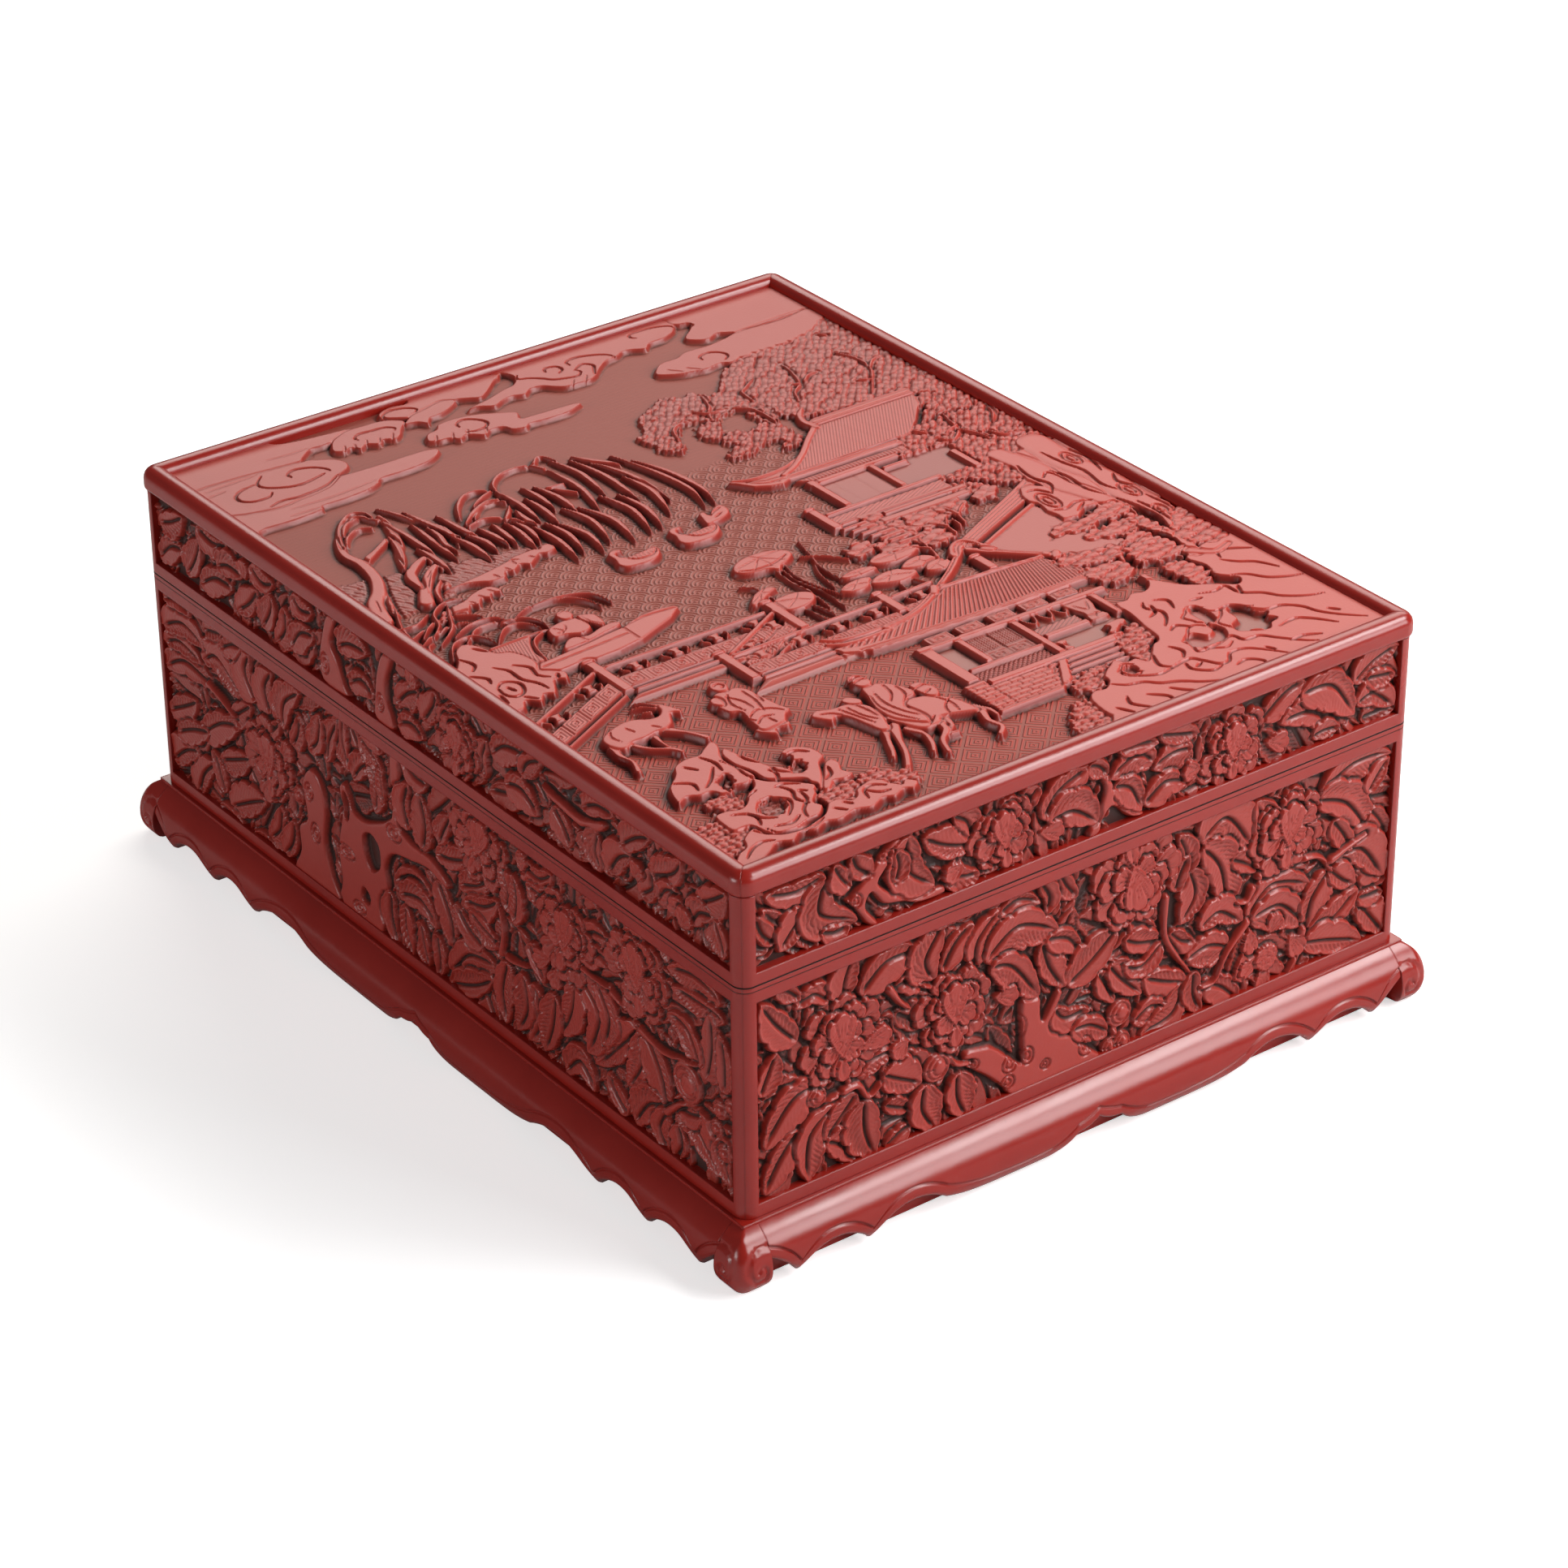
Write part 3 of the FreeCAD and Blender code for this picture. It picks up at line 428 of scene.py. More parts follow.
def carveFoliage(work, scene, lift, mirror=1, seed=0):
    # low leaves fill the gaps, then trunks, listed leaves, twigs, buds and flowers in painter's order
    move = lambda points: [(mirror * px, py - lift) for px, py in points]
    turned = lambda angle: angle if mirror > 0 else 180 - angle
    rounded = lambda outline: smoothLine(move(spots(outline)), closed=True, steps=4)
    dice = np.random.default_rng(seed + 100)
    width, height = work.xs[-1], work.ys[-1]
    for k in range(int(width * height / 14)):
        spot = dice.uniform((-width, -height), (width, height))
        angle = dice.uniform(0, 2 * math.pi)
        run = np.array((math.cos(angle), math.sin(angle))) * dice.uniform(8, 13)
        bend = np.array((-run[1], run[0])) * dice.uniform(-0.2, 0.2)
        carveLeaf(work, [spot - run, spot + bend, spot + run], dice.uniform(9, 13),
                  foliage["lowLevel"] + dice.uniform(-0.4, 0.5), seed + k)
    for outline in rowsOf(scene["trunks"]):
        work.fill(rounded(outline), foliage["leafLevel"], 1.6, 0.9, 2.0, 2.4)
    for outline in rowsOf(scene.get("holes")):
        work.fill(rounded(outline), 0.5, 0.8, 0.0, 0)
    for k, row in enumerate(rowsOf(scene["leaves"])):
        *spine, (leafWidth, _) = spots(row + ",0")
        carveLeaf(work, move(spine), leafWidth, seed=seed * 100 + k)
    for row in rowsOf(scene.get("twigs")):
        work.rib(smoothLine(move(spots(row)), steps=5), (3.4, 2.6, 2.2, 1.6), foliage["topLevel"], 0.9, 1.6, 2.0)
    for x, y, wide, tall in scene["eyes"]:
        carveEye(work, mirror * x, y - lift, wide, tall)
    for x, y, radius in scene.get("buds", ()):
        carveBud(work, mirror * x, y - lift, radius)
    for k, (x, y, size, heading) in enumerate(scene["blooms"]):
        carveBloom(work, mirror * x, y - lift, size, turned(heading), seed + 7 * k)
    for k, (x, y, angle, length, spread, ribs) in enumerate(scene["petals"]):
        carvePetal(work, (mirror * x, y - lift), turned(angle), length, spread, ribs, seed=seed + k,
                   level=foliage["topLevel"] - (0.35 if ribs < 8 else 0))
    for x, y, radius in scene.get("dots", ()):
        work.pebbles(oval(mirror * x, y - lift, radius, radius, 13)[:-1], 1.3, foliage["leafLevel"], relief=0.8)


frontScene = {
    "trunks": "-28,2 -36,9 -42,15 -48,20 -53,24 -52,29 -44,28 -40,26.5 -33,20 -28,15.5 -27.5,20 -28,28 -28.5,38"
        " -25,44 -20,41 -19.5,32 -18.5,29 -14,36 -11.5,40.5 -10,37 -13,30 -11,25 -8,20 -2,14 3,9 7,2",
    "eyes": ((-29, 30, 2, 3.4), (-33.3, 17, 2.3, 2.6), (-25.5, 17.5, 2, 2.6), (-34, 10, 2.3, 2), (0.5, 11, 2.4, 2.8),
             (-17.5, 11, 1.6, 1.4), (-49, 23, 1.8, 1.5)),
    "leaves": "-122,61 -130,70 -137,81 12|-109,71 -115,76 -123,73 8|-103,69 -102,77 -98,86 12|-96,68 -85,77 -69,76"
        " 14|-70,62 -76,66 -83,65 8|-66,63 -69,72 -61,83 13|-62,64 -57,73 -49,79 9|-137,45 -134,52 -130,60 10"
        "|-112,40 -124,39 -136,24 15|-121,26 -129,18 -136,6 12|-106,30 -117,22 -118,4 14|-97,31 -104,24 -111,17 10"
        "|-110,17 -103,12 -98,4 12|-94,27 -94,15 -90,3 15|-100,36 -93,41 -81,42 8|-87,34 -79,29 -70,24 14|-86,21"
        " -80,18 -74,15 7|-86,4 -79,8 -74,9 8|-69,23 -70,13 -64,3 14|-55,22 -55,12 -51,3 13|-48,61 -47,71 -37,80 12"
        "|-38,77 -30,80 -20,76 8|-44,61 -30,70 -12,62 16|-42,58 -32,55 -20,39 13|-19,60 -16,49 -9,38 11|-18,60"
        " -8,57 -2,49 9|-8,38 3,44 15,53 15|-13,31 -8,25 3,25 9|-6,19 3,18 13,11 10|6,38 10,31 14,23 8|19,53 27,48"
        " 34,41 8|17,47 24,43 35,40 10|11,39 17,31 26,22 12|35,40 25,33 17,37 8|46,19 36,23 26,28 13|22,11 30,15"
        " 38,11 10|46,19 40,8 25,5 12|-12,84 -9,78 -4,72 8|-2,84 6,80 13,82 9|-20,83 -16,76 -18,70 7|50,73 62,79"
        " 75,62 16|51,71 60,60 64,41 15|46,64 49,53 42,43 13|65,61 72,57 78,52 9|79,52 81,66 75,81 15|80,51 90,58"
        " 101,50 12|105,73 120,80 138,79 14|103,71 118,65 130,49 14|128,65 132,71 138,77 9|130,58 135,52 139,45 9"
        "|114,43 127,43 138,28 15|73,34 84,44 103,38 14|75,33 89,34 101,22 15|51,38 60,42 71,34 11|65,26 55,30"
        " 44,27 14|70,3 62,11 51,15 12|50,22 50,12 54,4 9|112,40 104,31 102,19 13|112,40 118,34 124,30 10|103,17"
        " 114,19 126,28 12|100,14 112,11 129,5 13|127,21 133,13 140,4 13|126,23 132,22 139,22 7|44,63 44,72 40,80 9"
        "|38,42 44,36 50,34 9|-70,84 -60,84 -50,84 7|112,60 118,52 122,44 9|40,57 42,64 46,70 8|-130,84 -124,80"
        " -120,76 7",
    "twigs": "-104,46 -101,38 -103,34 -114,33|-103,34 -97,34 -93,28 -88,31|-60,31 -56,26 -50,24|35,57 35,43 40,33"
        " 47,23|78,50 90,49 102,49 108,46 112,40|75,46 72,42 68,43|73,33 64,24 59,15 53,14|100,20 98,12 92,3|-50,62"
        " -60,58 -70,62|112,44 120,47 128,49|-84,66 -80,60 -76,56|14,14 13,8 12,3",
    "buds": ((-114, 36, 4.2), (-64, 27.5, 5.8), (16, 18, 5.6), (12, 6, 4), (17.5, 6, 4)),
    "blooms": ((-104, 54, 17.5, 92), (-57, 48, 16.5, 92), (21, 69, 19, -78), (91, 64, 17, 84)),
    "petals": ((-98, 48, 10, 15, 30, 9), (-40, 46, -15, 11, 40, 5), (-76, 44, 215, 9, 50, 5),
               (75, 30, -90, 11, 36, 7), (72, 21, -90, 12, 38, 9), (94, 20, -60, 11, 44, 7),
               (83, 17, 200, 14, 26, 7), (83, 13, -100, 12, 34, 7), (84, 24, 60, 9, 50, 5)),
    "dots": ((83, 15, 5.6),),
}

coverFrontScene = {
    "trunks": "-101,107 -96,111 -90,117 -84,122 -80,122 -84,115 -89,109 -84,104 -78,102 -70,99 -62,98 -62,95 -72,95"
        " -80,98 -87,100 -92,106 -94,101 -89,94 -93,94 -98,101 -102,106|-1,94 3,102 6,110 4,116 9,116 10,110 14,104"
        " 24,95 18,95 10,102 6,99 4,94",
    "eyes": ((-98.5, 105.5, 1.8, 2), (-86, 118, 3, 1.3)),
    "leaves": "-110,119 -122,117 -135,120 10|-119,110 -128,108 -136,116 9|-130,101 -135,106 -138,114 7|-117,109"
        " -123,104 -129,97 12|-110,117 -112,105 -97,98 14|-100,111 -104,116 -107,122 9|-92,113 -97,117 -99,123 9"
        "|-77,122 -76,108 -65,99 14|-51,109 -62,113 -71,119 12|-58,122 -52,118 -50,111 9|-22,121 -27,117 -33,116 9"
        "|-20,107 -14,116 0,121 13|-18,105 -7,106 4,98 14|-1,121 4,119 8,115 8|28,113 20,118 8,113 12|10,109 18,106"
        " 23,96 11|45,112 36,113 27,110 12|24,97 33,103 43,100 11|30,122 40,119 48,117 9|76,112 86,119 96,121 11"
        "|109,100 98,108 84,108 13|93,116 108,115 119,100 15|100,97 106,98 113,97 8|118,112 127,118 139,121 11"
        "|120,103 128,105 138,97 11|-82,106 -80,112 -82,118 7|-60,103 -54,98 -46,97 9|-112,98 -106,96 -100,97 7"
        "|12,122 20,122 30,120 6|124,112 131,111 138,110 8",
    "blooms": ((-37, 108, 14.5, 96), (63, 107, 14.5, 88)),
    "petals": ((-22, 103, -10, 11, 40, 5), (-53, 103, 200, 10, 42, 5), (78, 103, -15, 11, 42, 5),
               (49, 103, 170, 9, 50, 5)),
}

leftScene = {
    "trunks": "-62,2 -60,14 -61,28 -57,44 -58,54 -54,56 -50,48 -42,47 -34,50 -27,54 -23,60 -23,82 -17,82 -18,62"
        " -19,55 -10,52 0,52 11,47 10,43 0,46 -12,44 -24,41 -29,34 -28,26 -30,16 -36,2|-92,2 -88,14 -88,24 -82,30"
        " -84,44 -78,52 -72,50 -68,40 -70,24 -66,12 -62,2",
    "holes": "-43,40 -38,43 -33,40 -33,32 -38,28 -42,32|-55,53 -52,48 -53,42 -56,44|-45,18 -41,16 -42,12 -46,13",
    "eyes": ((-55, 28, 4, 2), (-22, 51, 3.5, 2.4), (-76, 26, 2.2, 3), (-79, 42, 2, 2.6), (-48, 8, 3, 1.8)),
    "leaves": "172,78 158,81 142,77 11|174,72 160,72 144,71 8|163,44 166,57 165,71 13|173,44 173,56 170,66 9|160,47"
        " 153,58 141,59 11|126,45 116,34 100,17 13|127,44 126,30 118,18 11|128,45 137,33 141,17 14|145,20 156,23"
        " 170,9 15|122,6 130,17 141,20 13|141,20 136,11 141,3 11|146,18 148,10 144,3 9|175,26 172,18 176,8 10"
        "|160,28 152,25 145,26 8|90,61 99,69 110,70 12|92,56 102,62 109,60 9|88,47 86,32 79,19 13|90,49 102,38"
        " 95,19 14|101,51 108,40 104,27 11|118,6 110,12 106,18 9|62,31 67,19 60,6 13|76,33 74,20 68,6 13|81,5 90,13"
        " 99,5 11|58,77 68,75 77,81 11|60,69 70,69 76,74 9|-54,84 -55,74 -51,62 11|-49,61 -42,69 -33,71 10|-35,53"
        " -34,66 -42,75 9|-44,80 -36,77 -28,72 9|-13,56 -16,66 -12,76 10|-5,52 -3,63 -7,75 13|-28,80 -34,84 -44,84"
        " 8|4,55 14,57 28,63 10|18,49 30,54 40,63 11|21,44 33,47 43,54 10|47,52 48,62 43,72 10|52,50 54,60 52,70 9"
        "|-24,31 -11,38 1,36 10|-22,26 -8,30 3,23 11|3,44 11,32 12,19 12|24,41 33,38 43,35 11|11,9 22,22 41,26 15"
        "|9,4 25,11 38,20 11|47,32 43,18 45,5 12|56,32 58,18 51,6 12|-28,24 -28,13 -24,3 9|-9,21 -7,12 -4,3 10"
        "|-18,24 -18,13 -14,3 9|1,21 3,12 2,3 8|-29,60 -30,68 -31,74 6|6,60 10,68 14,74 9|0,80 -8,80 -16,84 8"
        "|-151,65 -140,70 -122,58 15|-179,51 -165,58 -144,55 13|-179,61 -168,65 -152,62 10|-157,31 -142,42 -127,47"
        " 13|-137,9 -123,17 -111,23 14|-162,4 -157,14 -148,22 12|-180,10 -170,18 -159,22 13|-179,68 -165,74 -149,70"
        " 13|-114,63 -121,73 -117,82 14|-105,62 -108,72 -102,81 12|-96,60 -94,72 -82,81 13|-179,32 -168,38 -158,44"
        " 12|-175,24 -163,30 -150,34 10|-134,48 -126,54 -118,60 10|-143,26 -132,31 -121,36 11|-110,8 -103,15"
        " -101,26 12|-100,6 -94,14 -92,24 10|-90,56 -86,63 -86,70 9|-66,60 -64,70 -58,80 11|-78,60 -72,66 -70,78 11"
        "|-137,76 -130,80 -122,82 9|-150,78 -142,80 -136,82 8|-146,6 -138,5 -128,4 9|-178,80 -168,82 -158,80 8"
        "|-122,4 -114,5 -106,4 8|-142,12 -146,22 -150,28 9|-112,50 -104,56 -98,62 9|32,30 22,33 14,40 9|60,46 66,40"
        " 70,34 9",
    "twigs": "108,52 118,49 127,45|127,45 138,43 146,44 158,47|88,47 92,52 100,52 108,52|41,35 50,34 60,36|-120,48"
        " -110,52 -100,50 -90,52|-148,56 -140,54 -130,50|44,34 46,44 44,52|141,20 150,28 158,30",
    "buds": ((152, 37, 8), (170, 36, 4), (168, 28, 3.4), (176, 40, 3.4), (172, 20, 3.6), (-94, 40, 5), (-88, 36, 4)),
    "blooms": ((125, 66, 18, 100), (83, 60, 17, 80), (32, 72, 16.5, 70), (-107, 42, 17, 95)),
    "petals": ((74, 46, 200, 11, 40, 5), (78, 44, -110, 9, 50, 5), (54, 78, 0, 8, 60, 5), (-98, 48, 40, 10, 50, 5)),
}

coverLeftScene = {
    "trunks": "-64,94 -66,104 -64,112 -60,122 -54,122 -58,112 -54,106 -50,98 -48,94|-30,94 -30,104 -28,114 -24,122"
        " -18,122 -22,112 -22,104 -18,94|72,114 84,113 96,112 108,116 108,112 98,108 86,109 76,111",
    "eyes": ((-62, 102, 2, 3), (-26, 102, 1.6, 2.6)),
    "leaves": "-178,97 -170,104 -160,106 11|-176,112 -168,115 -158,121 11|-158,98 -152,106 -148,116 12|-148,98"
        " -138,104 -126,104 12|-150,120 -138,118 -128,121 10|-136,110 -128,113 -118,112 11|-122,98 -114,104"
        " -108,112 11|-112,120 -104,116 -96,119 10|-106,98 -100,106 -98,114 12|-96,96 -90,103 -90,113 11|-86,98"
        " -80,106 -70,108 12|-84,120 -78,116 -70,118 10|-48,100 -40,104 -32,100 10|-54,112 -46,116 -34,117 12"
        "|-16,106 -10,112 -2,116 12|-16,98 -8,101 0,98 10|0,106 6,114 8,121 11|12,112 18,116 28,121 11|38,100"
        " 36,108 40,116 10|42,112 50,118 62,120 12|50,104 60,106 70,100 13|60,112 64,118 72,122 9|78,108 84,103"
        " 88,96 11|94,106 96,101 94,96 10|104,110 102,102 106,95 10|110,98 116,106 124,110 12|96,116 104,120"
        " 114,120 10|118,112 126,118 134,121 11|134,108 146,114 152,122 12|160,110 168,115 176,121 13|168,108"
        " 172,102 174,95 11|138,100 142,106 150,108 10|128,98 134,103 132,110 10|156,100 160,106 168,108 10",
    "blooms": ((21, 106, 14, 90),),
    "petals": ((124, 102, 60, 9, 50, 5), (152, 100, 140, 9, 60, 5), (150, 96, 60, 10, 50, 5), (-8, 116, 60, 8, 60, 5),
               (-116, 112, 100, 9, 50, 5)),
}


# The lid: a garden by the water, in mm from the middle of the lid, +y to the back

scenery = {
    "flat": 3.55,          # mm of relief above the ground for the plain tops, at the drawn depth
    "high": 3.7,           # the drawn depth, which is fitted to the solid's
    "skyShare": 0.72,      # the clouds are cut shallower than the rocks in front
    "turf": 1.6,
}

wave = {
    "rise": 4.6,           # mm from row to row of the water's scales
    "reach": 6.2,          # their radius
    "line": 1.55,          # from line to line in a scale
    "depth": 0.28,
}

lozenge = {
    "side": 9.2,           # mm, one cell of the land diaper
    "line": 1.45,          # mm from line to line in it
}


def patches(work, rows, sizes, levels, seeds, **look):
    # leaves or needles worked as small overlapping scales, one patch for each outline
    found = rowsOf(rows)
    sizes, levels = np.broadcast_to(sizes, len(found)), np.broadcast_to(levels, len(found))
    for row, size, level, seed in zip(found, sizes, levels, seeds):
        work.pebbles(soft(row, 3), size, level, seed=seed, **look)


def lines(work, rows, width, depth, taper=True):
    # incised lines
    for row in rowsOf(rows):
        work.cut(smoothLine(spots(row), steps=5), width, depth, taper)


def blocks(work, rows, level=None, round=0.7, drop=0.35):
    # straight-edged shapes
    for row in rowsOf(rows):
        work.fill(spots(row), level or scenery["flat"], round, drop)


def slabs(work, rows, level=None, round=1.0, drop=0.5):
    # soft-edged shapes
    for row in rowsOf(rows):
        work.fill(soft(row), level or scenery["flat"], round, drop)


def strands(work, rows, widths, level=None, groove=0.0, **look):
    # raised strands, with a groove along them if asked
    for row in rowsOf(rows):
        line = smoothLine(spots(row), steps=5)
        work.rib(line, widths, level or scenery["flat"], **look)
        if groove:
            work.cut(line, 0.7, groove, True)


def carveClouds(work):
    slabs(work, "-141,182 -141,157 -120,156 -95,157 -91,159.5 -85,163.5 -78,163.5 -70,165.5 -62,168 -64,170.5"
        " -75,172 -85,173.5 -93,176 -100,182|-141,117.5 -132,118 -120,117.5 -108,118.5 -106,121 -96,121 -86,122"
        " -80,124.5 -77,127 -66,127 -57,128 -51,130.5 -47,134.5 -49,137 -56,138 -75,138 -90,139 -100,142 -141,143"
        "|-141,138 -122,130 -110,131 -102,132 -96,133.5 -92,136 -88,139 -82.5,142 -80,145.5 -80.5,149 -83,152.5"
        " -88,155.5 -95,157.5 -141,159|-79.5,157.5 -76,154.5 -72,155.5 -70,152.5 -66,154.5 -62,151.8 -59,154"
        " -55,151.8 -51,154.5 -48,158.5 -44,162.5 -45,165 -50,168.5 -58,169.5 -66,169.3 -71,167.3 -76,164|-50,171"
        " -44,166 -38,163 -31,162.5 -24,164 -19,166.5 -14,164.5 -10,162.5 -5,165.5 2,171.5 6,174 8,182 -30,182"
        " -35,176 -42,177 -48,175|-46,160.5 -41,159 -38,155.5 -35,159 -30,159.5 -24,162 -19,166 -24,169.5 -32,167.5"
        " -40,165.5|-20,157 -15,156 -10,153 -5,155 0,156 5,154.5 9,157 14,156.5 17,153.5 21,150.5 27,150 32,150"
        " 36,152 41,156.5 46,160 52,161 56,163 60,162.5 65,160 69,163 76,163.5 82,166 85,169 88,173 96,182 0,182"
        " 8,176 10,170 6,165 0,163.5 -8,160.5 -15,158.8|82,157.5 86,153.5 90,152.5 95,154.5 100,152 105,150.5"
        " 142,150 142,182 90,182 86,176 87,171 92,169 88.5,164.5 84,161|54,138.5 58,135 63,132.5 68,131.5 73,130.5"
        " 80,131.5 84,129.5 90,130.8 97,129.8 102,128.3 108,129 111,131 142,130 142,151 104,151.5 95,149.8 85,148.3"
        " 75,148.8 69,146.3 62,146.3 57,143|-47,143 -43,140.5 -39,140 -36,137 -32,138.5 -27,134.5 -23,136.5 -18,136"
        " -16,132 -11,130.3 -8,132 0,131.3 8,131.3 13,132.8 17.5,135.2 15,137.2 8,137.7 -3,138.2 -8,138.7 -6,143"
        " -8,145.5 -15,149.5 -22,152.7 -29,153.7 -36,153.2 -39,149.8 -44,148.5", round=1.0, drop=0.4)
    lines(work, "-115,142 -118,139.3 -124,139.3 -128,142.5 -127.5,147 -123,150 -117,151|-111,156 -116,151 -115,146.5"
        " -109,142.5 -103,141 -97,142 -91,143.8|-103,148 -103,151 -99,152.8 -93,150.7 -89.5,147 -88.5,143.5|-122,132"
        " -116,133.8 -110,132.8 -102,133.3 -96,134.8 -92,137.3 -88,140|-91,158.8 -87,160.5 -84,163.3|-67,159.5"
        " -67,162 -64,163.7 -58,163.3 -53,162.7 -50.5,160.3 -51.5,158.3|-48,168 -48.5,171.5 -44,173.7 -38,172.3"
        " -35,169 -37,167|-31,145.5 -30,149 -26,150.3 -22,147.3 -20.3,143.5 -22.5,140.5 -27,139.3 -31,141|12,171"
        " 10,167.5 14,165.5 18,162 20.5,159 25,157 30,156 33,158.5 32,161|22,166 23.5,169 28,168 28.5,164.5"
        " 25.5,162.3|33,165.5 33.5,169 39,170 46,167.5 50,164.5 51,161.5|32,161 37,163.5 40,160.5 38,156.5 36,153"
        "|68,170 66,172 67,174.5 71,175 78,174.5 84,171.8 85,168|84,162 88,166 92,166.8 92,169|104,151.5 112,151"
        " 122,150.5 135,152.3|76,138 77,141.5 82,142.3 86,139 86,135.5 83,133.3", 1.3, 1.4)
    lines(work, "-104,166 -95,165 -85,165.5|-135,156.5 -124,157 -112,157.8|-118,126 -100,125.5 -80,127.5|-120,121.2"
        " -107,120.8|-138,152 -128,153|-60,176 -45,179", 1.4, 0.35)
    for x, y, angle in spots("-75,156,60 -71,155,65 -66,155,60 -61,154,60 -55,154.5,55 -43,143,60 -37,141,60"
                             " -31,140,60 -24,138,60 25,152,50 31,152,50 62,137,130 69,134,130"):
        run = 3.2 * toward(angle)
        work.cut([(x, y) - run, (x, y) + run], 1.1, 0.6, True)


def carveTrees(work):
    # the leafy crowns at the upper right, worked as small pointed leaves, with bare twigs over them
    patches(work, "16,97 20,100 23,103 26,111 31,114 38,118 45,121 52,117 56,119 60,112 66,114 70,119 75,125 82,129"
        " 92,131 112,131 125,134 142,134 142,40 134,42 118,46 104,40 120,56 121,66 80,74 74,78 66,90 60,96 50,93"
        " 42,96 36,97 30,90 24,92 20,88|17,86 22,79 26,80 28,86 30,92 22,93|36,85 40,78 46,84 49,92 40,93|62,84"
        " 66,77 70,84 70,92 62,92|34,64 40,61 46,63 50,65 56,66 58,62 54,58 60,57 66,62 67,70 66,78 60,80 54,78"
        " 48,82 40,77 43,71 38,69|112,57 118,55 124,56 128,60 124,64 116,62|73,10 80,16 86,30 92,38 100,44 110,42"
        " 120,44 130,42 142,44 142,-12 130,-14 118,-12 108,-18 98,-12 92,-4 84,0 84,8 76,8|75,0 86,-3 92,-8 96,-14"
        " 90,-18 84,-12 78,-8",
        (2.6, 2.4, 2.4, 2.4, 2.5, 2.4, 2.6, 2.4), (3.1, 3.0, 3.0, 3.0, 3.0, 3.4, 3.2, 3.2), range(1, 9),
        relief=1.9, stretch=1.7, turn=50, rough=0.9)
    strands(work, "28,88 31,95 36,98 40,98|48,94 50,99 54,104 57,113|60,97 65,92 66,84 66,78|57,98 50,99 46,104"
        "|70,98 71,106 75,109 82,114|84,88 87,94 93,99 97,110 98,117|93,99 90,100|128,128 126,131|121,113 124,104"
        " 123,94 117,85 110,76|123,94 128,99 133,100|96,100 100,103 105,104|117,85 112,88|104,28 108,24 115,30"
        " 117,38 119,45|115,30 118,24 120,18|117,33 110,31|130,28 134,33 136,38|92,14 96,20 98,26|123,22 126,16"
        " 134,14|100,40 104,34", (1.2, 1.8, 1.6, 0.9), 3.65, round=0.5, moat=1.4, moatDepth=1.6)


